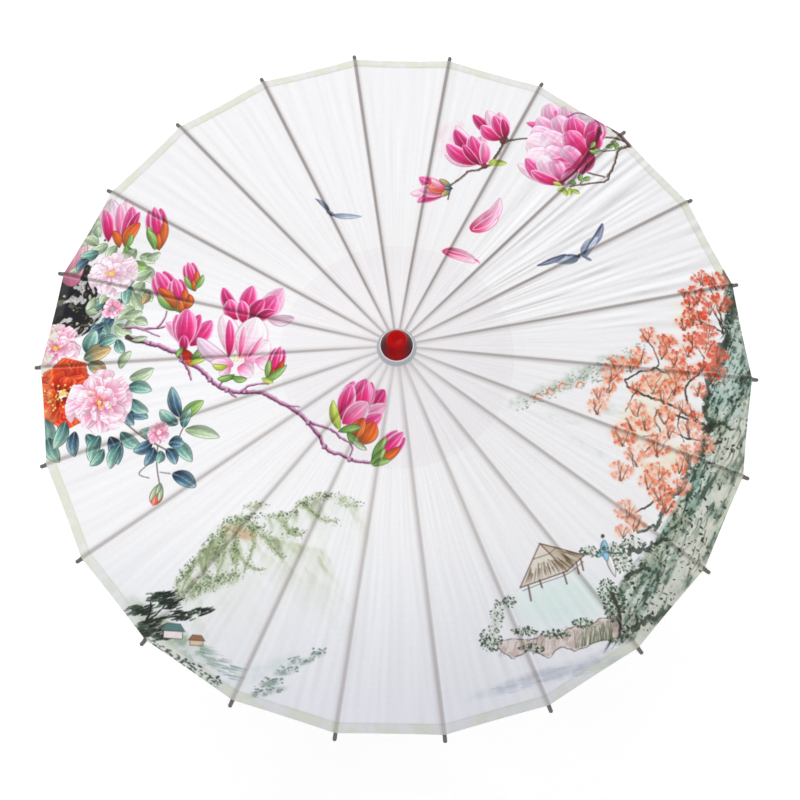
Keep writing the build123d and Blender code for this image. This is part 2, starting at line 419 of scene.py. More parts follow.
LILAC = ((0.88, 0.62, 0.74), (0.90, 0.78, 0.86), (0.88, 0.76, 0.86), (0.98, 0.93, 0.96), (0.66, 0.48, 0.60))
ORANGE = ((0.62, 0.30, 0.12), (0.86, 0.40, 0.14), (0.88, 0.30, 0.18), (0.97, 0.66, 0.36), (0.50, 0.20, 0.10))
EMBER = ((0.50, 0.03, 0.03), (0.78, 0.12, 0.05), (0.91, 0.30, 0.12), (0.97, 0.50, 0.28), (0.48, 0.03, 0.03))
LEAF = ((0.34, 0.52, 0.24), (0.50, 0.68, 0.34), (0.64, 0.78, 0.44), (0.80, 0.88, 0.62), (0.24, 0.38, 0.18))
LIME = ((0.56, 0.66, 0.18), (0.72, 0.80, 0.28), (0.80, 0.86, 0.44), (0.90, 0.92, 0.66), (0.46, 0.56, 0.16))
TEAL = ((0.17, 0.34, 0.36), (0.42, 0.62, 0.58), (0.70, 0.83, 0.75), (0.86, 0.93, 0.86), (0.14, 0.25, 0.25))
DARK = ((0.10, 0.18, 0.26), (0.25, 0.40, 0.50), (0.54, 0.69, 0.72), (0.80, 0.88, 0.85), (0.08, 0.13, 0.18))
SAGE = ((0.50, 0.60, 0.44), (0.68, 0.76, 0.62), (0.80, 0.86, 0.74), (0.93, 0.95, 0.88), (0.36, 0.44, 0.34))
TAN = ((0.30, 0.42, 0.38), (0.66, 0.58, 0.40), (0.84, 0.66, 0.44), (0.92, 0.84, 0.68), (0.30, 0.26, 0.18))
BLUSH = ((0.84, 0.22, 0.42), (0.95, 0.60, 0.73), (0.99, 0.84, 0.90), (1.0, 0.97, 0.98), (0.86, 0.40, 0.56))
SOFT = ((0.72, 0.10, 0.36), (0.91, 0.52, 0.72), (0.97, 0.80, 0.90), (0.99, 0.93, 0.96), (0.90, 0.62, 0.78))
LAVENDER = ((0.84, 0.50, 0.64), (0.94, 0.76, 0.84), (0.97, 0.88, 0.93), (1.0, 0.97, 0.98), (0.82, 0.58, 0.70))
CORAL = ((0.82, 0.14, 0.10), (0.93, 0.36, 0.28), (0.96, 0.58, 0.48), (0.99, 0.80, 0.72), (0.72, 0.12, 0.08))

INK = (0.13, 0.13, 0.12)
BARK = dict(tint=(0.64, 0.38, 0.55), dark=(0.34, 0.12, 0.27), light=(0.88, 0.70, 0.83))
BROWN = dict(tint=(0.42, 0.33, 0.30), dark=(0.20, 0.14, 0.13), light=(0.68, 0.58, 0.54))


def scattered(seed, count):
    """Repeatable random numbers, three to a row."""
    return np.random.default_rng(seed).random((count, 3))


# ---------------------------------------------------------------- flowers and leaves
def petals(art, rows):
    """Petals one over the other, by tints, root, tip and width."""
    for tints, root, tip, width, *more in rows:
        art.petal(root, tip, width, tints, *more)


def leaf(art, root, tip, width, tints=TEAL, bend=0.0, cover=1.0):
    """A leaf with one half in shade, a pale midrib and side veins."""
    art.petal(root, tip, width, tints, bend, 0.48, 1.45, 0.24, cover, 0, 0, 0.75)
    (rx, ry), (tx, ty) = root, tip
    nx, ny = (ry - ty), (tx - rx)
    size = math.hypot(nx, ny)
    nx, ny = nx / size, ny / size
    middle = ((rx + tx) / 2 + nx * bend, (ry + ty) / 2 + ny * bend)
    art.stroke([root, middle, tip], 0.9, tints[3], 0.4, cover=0.75 * cover)
    for share in (0.28, 0.46, 0.64):
        lift = bend * 4 * share * (1 - share)
        start = (rx + (tx - rx) * share + nx * lift, ry + (ty - ry) * share + ny * lift)
        for way in (-1, 1):
            reach = width * 0.36 * (1 - abs(share - 0.45))
            end_x = start[0] + (tx - rx) * 0.13 + way * nx * reach
            end_y = start[1] + (ty - ry) * 0.13 + way * ny * reach
            art.stroke([start, (end_x, end_y)], 0.6, tints[4], 0.4, cover=0.32 * cover, steps=1)


def leaves(art, rows, share=0.62, bend=2.0, swing=-1):
    """Leaves by foot, direction and length; swing -1 bends every other one the other way."""
    for step, (x, y, angle, size, tints) in enumerate(rows):
        leaf(art, (x, y), toward(x, y, angle, size), size * share, tints, bend * swing**step)


def peony(
    art, x, y, radius, tints, seed, squash=0.9, heart=(0.95, 0.80, 0.30), rings=(1.0, 0.8, 0.62, 0.45, 0.3),
    most=9
):
    """A full blossom: rings of frilled petals, the inner ones laid over the outer."""
    for level, reach in enumerate(rings):
        count = most - level
        draws = scattered(seed * 10 + level, count)
        for step, (turn, size, fall) in enumerate(draws):
            angle = 2 * math.pi * (step + 0.5 * (level % 2) + 0.5 * (turn - 0.5)) / count
            far = radius * reach * (0.86 + 0.24 * size)
            near = radius * reach * 0.18
            root = (x + near * math.cos(angle), y + near * math.sin(angle) * squash)
            tip = (x + far * math.cos(angle), y + far * math.sin(angle) * squash)
            shade = 0.16 if math.sin(angle) < 0 else -0.05
            wide = far * (0.62 + 0.24 * fall) * 9 / most
            bend = far * 0.12 * (turn - 0.5)
            art.petal(root, tip, wide, tints, bend, 0.68, 0.85, shade, 1, step + level, 0.5, 0.8)
    for turn, size, fall in scattered(seed, 16):
        angle = 2 * math.pi * turn
        far = radius * 0.2 * size
        art.dab(x + far * math.cos(angle), y + far * math.sin(angle) * squash, 0.9 + fall * 0.5, heart, 0.9)


def bud(art, root, tip, width, tints=HOT, sepal=ORANGE, green=LEAF, half=0.62):
    """A closed magnolia: three petals and the sepals at its foot."""
    (rx, ry), (tx, ty) = root, tip
    ax, ay = tx - rx, ty - ry

    def at(along, aside):
        return (rx + ax * along - ay * aside, ry + ay * along + ax * aside)

    art.petal(at(0.05, -0.04), at(0.93, -0.13), width * 0.72, DEEP, width * -0.06)
    art.petal(at(0.05, 0.04), at(0.93, 0.12), width * 0.72, tints, width * 0.06)
    art.petal(at(0.0, 0.0), tip, width * 0.72, tints)
    art.petal(at(-0.06, -0.03), at(half, -0.2), width * 0.5, sepal, width * -0.08)
    art.petal(at(-0.06, 0.03), at(half * 0.9, 0.18), width * 0.46, green, width * 0.08)
    art.petal(at(-0.1, 0.0), at(half * 0.55, -0.02), width * 0.4, sepal)


# ---------------------------------------------------------------- left: blossoms and leaves
def paint_rock(art):
    """Dark pierced rock behind the blossoms at the rim."""
    outline = [
        (-398, 100), (-378, 128), (-352, 118), (-338, 96), (-336, 70), (-352, 40), (-384, 30), (-408, 30),
        (-412, 70),
    ]
    at, cover = art.inside(outline, 2.5)
    x, y = art.x[at], art.y[at]
    cloud = cloudy(x / 9, y / 7, 71, 4)
    color = mixed((0.07, 0.07, 0.08), (0.36, 0.34, 0.28), ramp(cloud, 0.56, 0.66))
    seams = cloudy((x + y) / 14, (x - y) / 7, 77, 3)
    color = mixed(color, (0.78, 0.77, 0.76), ramp(seams, 0.55, 0.585))
    color = mixed(color, (0.30, 0.29, 0.28), 0.7 * ramp(np.abs(seams - 0.66), 0.018, 0.006))
    art.lay(at, color, cover)
    for turn, size, fall in scattered(8, 18):
        cx, cy = -376 + 40 * turn, 34 + 86 * size
        wide, lean = 4 + 5 * fall, 180 * turn
        art.dab(cx, cy, wide, (0.08, 0.08, 0.07), 0.95, lean, 1.7)
        heart = (0.84, 0.83, 0.80) if fall > 0.6 else (0.34, 0.33, 0.24)
        art.dab(cx, cy, wide * 0.45, heart, 0.85, lean, 2.2)
    for a, b, width in (
        ((-392, 98), (-370, 86), 12), ((-386, 72), (-362, 52), 10), ((-396, 52), (-388, 40), 9)
    ):
        art.stroke([a, b], width, (0.05, 0.06, 0.09), width * 0.5, cover=0.95, ragged=0.7, gnarl=2)
    for turn, size, fall in scattered(18, 22):
        art.dab(-398 + 60 * turn, 104 + 60 * size, 1.6 + 2 * fall, (0.22, 0.20, 0.17), 0.8, 60 * fall, 1.8)


def paint_left_cluster(art):
    """The rock, peonies, magnolias and leaves at the left rim, from the back to the front."""
    art.wash(-385, 140, 34, 34, (0.72, 0.70, 0.62), 0.7, 60, 8, 3)
    paint_rock(art)
    drape = (
        (0.74, 0.40, 0.52), (0.84, 0.54, 0.65), (0.88, 0.62, 0.70), (0.97, 0.86, 0.90), (0.62, 0.30, 0.42)
    )
    art.petal((-380, 98), (-374, 158), 32, drape, 4, 0.5, 0.8)
    art.wash(-352, 172, 18, 14, (0.52, 0.70, 0.72), 0.75, 30, 7, 12)
    art.wash(-369, 164, 16, 12, (0.34, 0.33, 0.24), 0.8, 60, 5, 13)
    art.wash(-318, 132, 40, 26, (0.90, 0.92, 0.86), 0.8, -20, 12, 14)
    art.wash(-305, 90, 26, 50, (0.84, 0.89, 0.83), 0.75, 0, 12, 15)
    art.wash(-328, 46, 26, 26, (0.60, 0.70, 0.64), 0.8, 0, 9, 16)
    for x, y, angle in (
        (-376, 150, 30), (-352, 160, 100), (-368, 122, 200), (-360, 172, 60), (-344, 178, 120)
    ):
        leaf(art, (x, y), toward(x, y, angle, 17), 10, SAGE, 1.5)
    # Top magnolia and its neighbour
    petals(art, [
        (PALE, (-330, 160), (-358, 200), 20, -4), (LILAC, (-332, 160), (-342, 210), 24, 2),
        (PALE, (-326, 160), (-322, 208), 20, -3), (HOT, (-340, 152), (-350, 198), 17, -2),
        (ROSE, (-322, 150), (-330, 204), 16, 2), (HOT, (-322, 148), (-315, 198), 22, -3),
        (DEEP, (-316, 148), (-305, 190), 13, 3), (ORANGE, (-318, 142), (-304, 176), 17, 5),
        (ORANGE, (-326, 144), (-336, 168), 11, -2), (LEAF, (-318, 142), (-312, 162), 8, -1),
    ])
    bud(art, (-278, 142), (-288, 196), 21)
    leaf(art, (-282, 138), (-294, 166), 10, LEAF, -2)
    # Leaves between, then the blossoms
    leaves(art, [
        (-340, 150, 200, 22, SAGE), (-330, 148, 250, 22, SAGE), (-318, 146, 280, 22, LEAF),
        (-306, 142, 250, 24, SAGE), (-300, 132, 330, 22, SAGE), (-292, 128, 20, 18, SAGE),
        (-296, 118, 300, 26, SAGE), (-304, 112, 250, 24, TEAL), (-284, 112, 200, 24, SAGE),
        (-292, 98, 250, 24, SAGE), (-312, 96, 270, 26, TEAL), (-304, 84, 300, 26, SAGE),
        (-318, 78, 240, 22, TEAL), (-300, 66, 215, 24, SAGE), (-336, 78, 200, 22, TEAL),
        (-326, 60, 250, 24, DARK), (-342, 50, 300, 24, TEAL), (-322, 46, 330, 24, SAGE),
        (-310, 40, 30, 20, SAGE), (-332, 34, 250, 20, TEAL), (-344, 62, 150, 18, SAGE),
        (-318, 28, 300, 20, TEAL), (-346, 28, 40, 16, DARK), (-352, 150, 150, 22, SAGE),
        (-350, 140, 190, 24, TEAL), (-362, 132, 230, 20, DARK), (-296, 86, 320, 22, SAGE),
        (-330, 88, 230, 20, SAGE), (-286, 86, 250, 18, TAN), (-312, 56, 10, 22, SAGE),
        (-300, 50, 340, 18, SAGE), (-336, 46, 215, 20, DARK), (-322, 138, 310, 20, SAGE),
        (-310, 124, 340, 22, LEAF), (-350, 82, 240, 18, SAGE),
    ])
    peony(art, -332, 110, 31, LAVENDER, 4, 0.95, rings=(1.0, 0.8, 0.6, 0.42))
    peony(art, -327, 66, 13, BLUSH, 5, 0.9, (0.55, 0.75, 0.72), (1.0, 0.65))
    # Big blossoms at the rim: pink above, flame red, then pale pink with a golden heart
    peony(art, -392, 22, 30, BLUSH, 6, 0.9)
    leaves(art, [
        (-352, 12, 75, 30, TEAL), (-356, 6, 20, 34, TAN), (-350, 0, 330, 26, TAN), (-340, 22, 20, 24, TEAL),
    ], swing=1)
    peony(art, -378, -34, 42, EMBER, 7, 0.95, (0.98, 0.84, 0.30), (1.0, 0.74, 0.5), 6)
    for turn, size, _ in scattered(31, 20):
        angle = 2 * math.pi * turn
        start = (-386 + 4 * math.cos(angle), -36 + 4 * math.sin(angle))
        end = (-386 + (8 + 12 * size) * math.cos(angle), -36 + (8 + 12 * size) * math.sin(angle))
        art.stroke([start, end], 0.7, (0.97, 0.72, 0.24), cover=0.85, steps=1)
        art.dab(*end, 1.2, (0.99, 0.88, 0.45))
    leaves(art, [
        (-398, -62, 285, 34, TEAL), (-392, -84, 300, 34, TEAL), (-372, -66, 250, 34, TEAL),
        (-360, -78, 275, 30, DARK), (-346, -82, 300, 30, TEAL), (-330, -84, 255, 32, TEAL),
        (-318, -86, 290, 34, DARK), (-306, -82, 325, 30, TEAL), (-300, -62, 350, 26, DARK),
        (-306, -96, 250, 28, TEAL), (-324, -100, 230, 24, TEAL), (-300, -20, 20, 30, SAGE),
        (-302, -30, 350, 30, TEAL), (-298, -44, 325, 28, TEAL), (-312, -8, 60, 24, SAGE),
        (-304, -52, 300, 26, DARK),
    ], 0.5, 2.5)
    peony(art, -334, -46, 38, BLUSH, 9, 0.95)
    for x, y in ((-344, -40), (-340, -34), (-330, -38), (-348, -32), (-322, -50)):
        art.dab(x, y, 1.8, (0.97, 0.80, 0.42), 0.8, 40, 1.5)


def paint_spray(art):
    """Blue-green leaves and buds that hang to the right of the blossoms."""
    art.stroke([(-300, -72), (-280, -88), (-262, -98), (-244, -108)], 1.6, **BROWN)
    art.stroke([(-262, -98), (-262, -120), (-258, -140), (-256, -152)], 1.3, **BROWN)
    art.stroke([(-262, -112), (-282, -128), (-270, -134)], 1.0, **BROWN)
    art.stroke([(-244, -108), (-236, -84), (-230, -74)], 1.2, **BROWN)
    art.stroke([(-258, -128), (-246, -130)], 1.0, **BROWN)
    for root, tip, width, tints in (
        ((-238, -68), (-250, -32), 15, DARK), ((-237, -72), (-212, -50), 15, LEAF),
        ((-232, -82), (-192, -92), 14, SAGE), ((-240, -76), (-262, -58), 14, TEAL),
        ((-234, -80), (-226, -58), 12, TEAL), ((-246, -94), (-222, -118), 15, TEAL),
        ((-250, -96), (-232, -98), 14, DARK), ((-268, -94), (-290, -104), 14, DARK),
        ((-266, -100), (-276, -120), 13, DARK), ((-252, -102), (-240, -120), 13, DARK),
        ((-244, -130), (-216, -146), 17, DARK), ((-262, -82), (-284, -82), 13, TEAL),
        ((-258, -104), (-262, -118), 11, TEAL),
    ):
        leaf(art, root, tip, width, tints, 2)
    peony(art, -262, -84, 13, BLUSH, 12, 1.0, (0.98, 0.90, 0.90), (1.0, 0.7))
    bud(art, (-257, -142), (-264, -165), 14, CORAL, SAGE, SAGE, 0.85)


# ---------------------------------------------------------------- magnolia branch
def paint_branch(art):
    """The long branch of the middle magnolias and its twigs."""
    for path, width, end, ragged, gnarl in (
        ([(-306, 30), (-280, 21), (-262, 14), (-246, 6), (-238, -3)], 5, 5, 0.5, 1.2),
        ([(-238, -3), (-222, -11), (-205, -27), (-188, -39), (-166, -43)], 5, 4.4, 0.5, 1.2),
        ([(-166, -43), (-148, -44), (-130, -54), (-108, -67), (-94, -80), (-80, -96)], 4.6, 4.2, 0.4, 0.8),
        ([(-80, -96), (-74, -108), (-62, -113), (-48, -120), (-25, -123)], 4, 3, 0.5, 1.2),
    ):
        art.stroke(path, width, end_width=end, ragged=ragged, gnarl=gnarl, **BARK)
    for path, width in (
        ([(-312, 42), (-290, 40), (-270, 39), (-252, 46), (-244, 56)], 3.2),
        ([(-272, 39), (-264, 50), (-262, 58)], 2.6), ([(-236, -5), (-232, -14), (-228, -24)], 3.4),
        ([(-196, -34), (-190, -28), (-180, -26)], 2.6), ([(-172, -42), (-160, -36), (-140, -34)], 2.8),
        ([(-92, -80), (-70, -88), (-60, -96)], 3.0),
        ([(-60, -96), (-50, -101), (-46, -108), (-49, -120)], 2.4), ([(-186, -40), (-176, -48)], 2.6),
        ([(-292, 40), (-280, 34), (-268, 28)], 2.2), ([(-120, -60), (-104, -62)], 1.8),
    ):
        art.stroke(path, width, end_width=width * 0.7, ragged=0.5, gnarl=1.0, **BARK)
    for x, y in (
        (-280, 21), (-240, -2), (-206, -27), (-186, -40), (-166, -43), (-94, -80), (-76, -106), (-48, -120)
    ):
        art.dab(x, y, 3.4, BARK["dark"], 0.7, 30, 1.5)
        art.dab(x - 0.6, y + 1.0, 2.0, BARK["light"], 0.8)
    art.stroke([(-306, 30), (-296, 24), (-286, 22)], 6.5, (0.20, 0.20, 0.14), end_width=2, cover=0.85)
    leaf(art, (-300, 26), (-282, 28), 7, SAGE)


def paint_middle_magnolias(art):
    """Buds, a dark magnolia and an open white one on the branch."""
    bud(art, (-252, 62), (-278, 110), 24, half=0.55)
    bud(art, (-244, 58), (-256, 100), 20, half=0.6)
    petals(art, [(ORANGE, (-240, 58), (-236, 78), 10, -3), (ORANGE, (-250, 60), (-274, 88), 12, -3)])
    bud(art, (-231, 84), (-242, 120), 15)
    leaf(art, (-230, 84), (-222, 102), 8, LEAF, -1)
    petals(art, [
        (ROSE, (-240, 16), (-262, 46), 18, -4), (HOT, (-232, 14), (-208, 44), 22, -2),
        (DEEP, (-236, 14), (-222, 52), 18, 2), (HOT, (-242, 16), (-250, 54), 20, -2),
        (HOT, (-238, 12), (-238, 60), 26, 0), (DEEP, (-238, 6), (-240, 28), 12),
        (EMBER, (-242, 12), (-228, -10), 12, 2), (LEAF, (-230, -2), (-216, 14), 9, -2),
        (LIME, (-232, -8), (-212, -2), 7, 1), (LEAF, (-240, 14), (-246, 2), 7),
    ])
    # The dark magnolia behind
    petals(art, [
        (ROSE, (-166, 40), (-128, 78), 30, -5), (DEEP, (-172, 44), (-198, 84), 16, 4),
        (HOT, (-178, 42), (-190, 68), 18, 3), (HOT, (-172, 44), (-164, 84), 22),
        (HOT, (-162, 40), (-136, 70), 28, -3), (DEEP, (-166, 38), (-150, 66), 17, 2),
        (LILAC, (-145, 42), (-114, 40), 14, -3), (HOT, (-170, 36), (-176, 66), 16),
        (DEEP, (-160, 38), (-136, 50), 14, 2),
    ])
    # The open white magnolia in front
    petals(art, [
        (MILK, (-184, 0), (-196, 50), 24, -3), (HOT, (-186, -4), (-188, 44), 13, -1),
        (LILAC, (-180, -10), (-224, 24), 19, 5), (PALE, (-180, -12), (-206, -6), 14, 1),
        (MILK, (-172, -4), (-156, 44), 38, -2), (ROSE, (-174, -6), (-170, 36), 9, 0),
        (MILK, (-168, -8), (-140, 14), 24, -1), (ROSE, (-166, -6), (-148, 22), 8, -1),
        (PALE, (-176, -14), (-158, -24), 20, 3), (MILK, (-156, -6), (-134, -18), 18, 2),
        (PALE, (-184, -10), (-196, -22), 12, 2),
    ])
    for turn, size, _ in scattered(17, 9):
        art.dab(-180 + 10 * turn, -8 + 8 * size, 1.1, (0.97, 0.85, 0.45), 0.9)
    petals(art, [
        (LIME, (-186, -12), (-204, -10), 8, 2), (LEAF, (-178, -22), (-198, -26), 8, 2),
        (LEAF, (-182, -24), (-164, -28), 8, -2),
    ])
    bud(art, (-138, -30), (-128, 8), 17, sepal=EMBER)
    leaf(art, (-146, -32), (-120, -14), 9, LEAF, -2)
    leaf(art, (-148, -28), (-134, -34), 6, LIME)


def paint_lower_magnolia(art):
    """The magnolia and the bud at the branch's far end."""
    petals(art, [
        (DEEP, (-40, -76), (-12, -46), 22, -3), (HOT, (-48, -78), (-46, -36), 24, 3),
        (DEEP, (-42, -76), (-26, -38), 22, 1), (HOT, (-40, -76), (-33, -34), 26, 2),
        (ROSE, (-50, -80), (-10, -62), 20, -4), (HOT, (-56, -82), (-48, -40), 20, 2),
        (HOT, (-52, -84), (-14, -72), 20, -5), (ROSE, (-58, -82), (-30, -60), 22, -1),
        (ORANGE, (-38, -104), (-22, -80), 19, -2), (ORANGE, (-42, -100), (-34, -76), 16, 2),
        (LEAF, (-62, -90), (-36, -86), 9, 1), (LEAF, (-52, -90), (-38, -104), 9, -1),
    ])
    leaf(art, (-60, -88), (-68, -56), 11, LIME, 2)
    leaf(art, (-46, -100), (-30, -110), 7, SAGE)
    bud(art, (-22, -122), (9, -90), 20, half=0.7)
    leaf(art, (-26, -124), (-10, -108), 9, LEAF, -1)
    leaf(art, (-24, -126), (-4, -120), 8, LEAF, 1)


# ---------------------------------------------------------------- upper right magnolias
def paint_upper_magnolias(art):
    """Twigs and magnolias at the upper right, two loose petals and two birds."""
    for path, width, end in (
        ([(124, 284), (116, 265), (104, 247), (92, 240), (80, 236), (66, 222), (58, 216)], 4.2, 2.2),
        ([(124, 284), (138, 288), (154, 291)], 3.2, 2.0), ([(206, 254), (222, 248), (242, 243)], 2.6, 2.2),
        ([(246, 244), (256, 265), (262, 284), (276, 293)], 2.6, 3.4),
        ([(200, 226), (224, 232), (244, 238), (248, 246)], 2.4, 2.4),
        ([(238, 300), (258, 301), (276, 294)], 2.6, 3.4),
        ([(228, 286), (244, 280), (258, 284), (266, 290)], 1.6, 1.4),
        ([(252, 318), (262, 308), (276, 292)], 5, 5), ([(218, 252), (226, 262)], 2, 1.2),
        ([(212, 232), (222, 240)], 1.6, 1),
    ):
        art.stroke(path, width, end_width=end, ragged=0.5, gnarl=0.9, **BROWN)
    art.wash(64, 292, 26, 20, (0.97, 0.74, 0.84), 0.55, 30, 9, 4)
    art.wash(62, 264, 22, 14, (0.97, 0.80, 0.87), 0.5, 0, 9, 6)
    petals(art, [
        (PALE, (94, 250), (52, 262), 20, 3), (PALE, (94, 250), (66, 304), 18, 2),
        (ROSE, (96, 248), (98, 292), 22, 2), (DEEP, (94, 248), (64, 298), 20, 2),
        (HOT, (92, 248), (54, 276), 22, 4), (HOT, (96, 246), (84, 290), 22, 0),
        (ROSE, (98, 246), (99, 282), 15, -2), (DEEP, (95, 246), (74, 276), 12, 2),
        (ROSE, (122, 288), (118, 328), 20, -2), (DEEP, (122, 288), (86, 322), 18, 3),
        (PALE, (122, 288), (104, 330), 18, 1), (HOT, (122, 286), (96, 306), 20, 4),
        (HOT, (124, 286), (112, 322), 19, 0), (DEEP, (124, 286), (122, 318), 12, -2),
    ])
    art.dab(123, 285, 6.5, (0.34, 0.16, 0.16), 0.9, 60, 1.3)
    art.dab(99, 246, 4.0, (0.40, 0.12, 0.18), 0.8)
    leaf(art, (104, 249), (126, 252), 9, LIME, 1)
    leaf(art, (104, 249), (112, 257), 5, LIME)
    petals(art, [
        (PALE, (54, 210), (12, 202), 14, 2), (HOT, (56, 214), (22, 226), 20, 4),
        (HOT, (56, 206), (20, 190), 16, -2), (ROSE, (56, 208), (22, 208), 18, 1),
        (CORAL, (58, 210), (32, 212), 16, 0), (BLUSH, (56, 212), (36, 224), 10, 2),
    ])
    petals(art, [
        (TAN, (60, 214), (46, 224), 8), (TAN, (60, 212), (48, 200), 8), (DARK, (62, 212), (52, 212), 6),
    ])
    art.stroke([(58, 206), (56, 196)], 1.6, **BROWN)
    # The large double blossom
    petals(art, [
        (LILAC, (204, 318), (242, 318), 24, 5), (DEEP, (228, 284), (240, 330), 22, -3),
        (SOFT, (196, 300), (180, 345), 30, 3, 0.6, 0.9), (SOFT, (204, 300), (201, 344), 26, -2, 0.6, 0.9),
        (HOT, (186, 297), (150, 314), 14, -2), (SOFT, (192, 298), (164, 322), 22, 2, 0.6, 1),
        (SOFT, (206, 292), (188, 328), 28, 2, 0.6, 1), (HOT, (212, 286), (208, 326), 34, -1, 0.6, 0.9),
        (HOT, (224, 288), (236, 324), 24, -2, 0.6, 1), (SOFT, (206, 284), (156, 302), 34, 3, 0.6, 0.8),
        (PALE, (208, 272), (150, 286), 42, 0, 0.6, 0.8), (PALE, (208, 262), (150, 264), 38, 1, 0.6, 0.8),
        (SOFT, (216, 272), (170, 300), 34, 3, 0.6, 0.9), (HOT, (222, 270), (200, 306), 30, 2, 0.6, 1),
        (DEEP, (226, 276), (234, 310), 22, -2), (SOFT, (218, 258), (172, 276), 30, 3, 0.6, 0.9),
        (HOT, (216, 262), (178, 262), 17, 3), (SOFT, (212, 250), (164, 250), 28, 2, 0.6, 0.9),
        (SOFT, (218, 254), (194, 282), 24, 0, 0.6, 1), (PALE, (186, 230), (138, 252), 18, 3),
        (HOT, (188, 226), (148, 262), 25, 5), (PALE, (190, 230), (166, 266), 26, 2, 0.6, 1),
        (HOT, (190, 228), (154, 244), 17, 3), (SOFT, (192, 232), (182, 262), 20, 0, 0.6, 1),
        (DEEP, (190, 226), (202, 254), 15, -2), (DEEP, (228, 286), (212, 244), 17, 4),
        (LILAC, (208, 252), (189, 226), 15, 1),
    ])
    for x, y, long, wide, tint, angle in (
        (186, 330, 8, 3, (0.86, 0.16, 0.46), 70), (180, 288, 26, 12, (0.99, 0.95, 0.97), 15),
        (172, 264, 20, 9, (0.99, 0.95, 0.97), 0), (206, 284, 14, 7, (0.80, 0.20, 0.48), 50),
        (224, 302, 12, 7, (0.76, 0.12, 0.38), 60), (190, 262, 16, 6, (0.84, 0.24, 0.52), 12),
        (224, 327, 16, 6, (0.80, 0.76, 0.84), -16),
    ):
        art.wash(x, y, long, wide, tint, 0.6, angle, 5, int(x))
    art.stroke(
        [(202, 328), (214, 335), (230, 331), (240, 320), (241, 306)], 2.0, (0.42, 0.14, 0.34), 2.6,
        cover=0.7
    )
    art.stroke(
        [(240, 308), (230, 290), (214, 266), (200, 246), (188, 230)], 7, (0.56, 0.02, 0.20), 4, cover=0.55
    )
    art.stroke(
        [(240, 314), (234, 292), (218, 264), (204, 244), (188, 228)], 4.6, (0.34, 0.02, 0.12), 3, cover=0.9
    )
    art.stroke([(222, 262), (218, 248), (210, 238)], 3.4, (0.36, 0.12, 0.12), 1.6, cover=0.8, ragged=0.9)
    art.dab(190, 229, 4, (0.45, 0.08, 0.16), 0.8)
    for x, y, angle, tints in (
        (228, 284, 60, LEAF), (240, 282, 200, LEAF), (246, 286, 20, LEAF), (258, 284, 70, LEAF),
        (262, 290, 150, LEAF), (212, 234, 80, LEAF), (216, 236, 30, LEAF), (208, 232, 190, LEAF),
        (194, 222, 200, LIME), (192, 222, 290, LIME), (202, 222, 330, LIME), (200, 224, 270, LIME),
        (236, 276, 160, LEAF), (190, 226, 160, LIME),
    ):
        leaf(art, (x, y), toward(x, y, angle, 11), 6.5, tints)
    # Two loose petals, curled at one end, and two birds
    petals(art, [
        (BLUSH, (82, 154), (113, 186), 21, -3, 0.5, 0.9), (PALE, (98, 168), (117, 203), 15, -4, 0.35, 1.1),
        (ROSE, (84, 156), (112, 180), 9, -2, 0.5, 1.2), (BLUSH, (50, 125), (88, 113), 15, 2, 0.45, 0.9),
        (ROSE, (52, 124), (86, 115), 6, 1, 0.45, 1.2), (ROSE, (83, 117), (92, 109), 5, 2),
    ])
    art.dab(52, 124, 3.2, (0.80, 0.10, 0.38), 0.6, 160, 1.4, 3)
    wing = (
        (0.32, 0.36, 0.46), (0.50, 0.54, 0.64), (0.40, 0.40, 0.52), (0.86, 0.88, 0.92), (0.44, 0.46, 0.58)
    )
    pale_wing = (
        (0.48, 0.55, 0.66), (0.68, 0.73, 0.81), (0.74, 0.77, 0.84), (0.94, 0.95, 0.97), (0.52, 0.55, 0.66)
    )
    petals(art, [
        (pale_wing, (206, 130), (172, 123), 13, 1, 0.35, 1.2),
        (wing, (192, 133), (157, 114), 7, 1, 0.4, 1.4), (wing, (222, 146), (237, 180), 9, -2, 0.45, 1.2),
        (pale_wing, (211, 131), (232, 161), 13, 3, 0.4, 1.2), (wing, (212, 132), (222, 128), 4, 0),
        (pale_wing, (-76, 172), (-42, 170), 8, -1, 0.4, 1.5),
        (wing, (-80, 176), (-98, 196), 6, -2, 0.4, 1.6), (wing, (-72, 170), (-84, 178), 5, 0),
    ])
    for path in ([(204, 132), (184, 130), (158, 115)], [(213, 136), (220, 150), (236, 177)]):
        art.stroke(path, 2.4, (0.25, 0.27, 0.38), 1.4, cover=0.8, ragged=0.9)
    art.dab(207, 132, 3.2, INK, 0.75, 75, 2)
    art.dab(-78, 172, 2.6, INK, 0.75, 120, 2)


# ---------------------------------------------------------------- right: maples on a cliff
MAPLE_TINTS = (
    (0.90, 0.36, 0.20), (0.93, 0.45, 0.28), (0.96, 0.58, 0.42), (0.84, 0.28, 0.16), (0.97, 0.70, 0.56)
)
MAPLE_PALE, MAPLE_RED = np.array((0.98, 0.86, 0.80)), np.array((0.85, 0.20, 0.13))


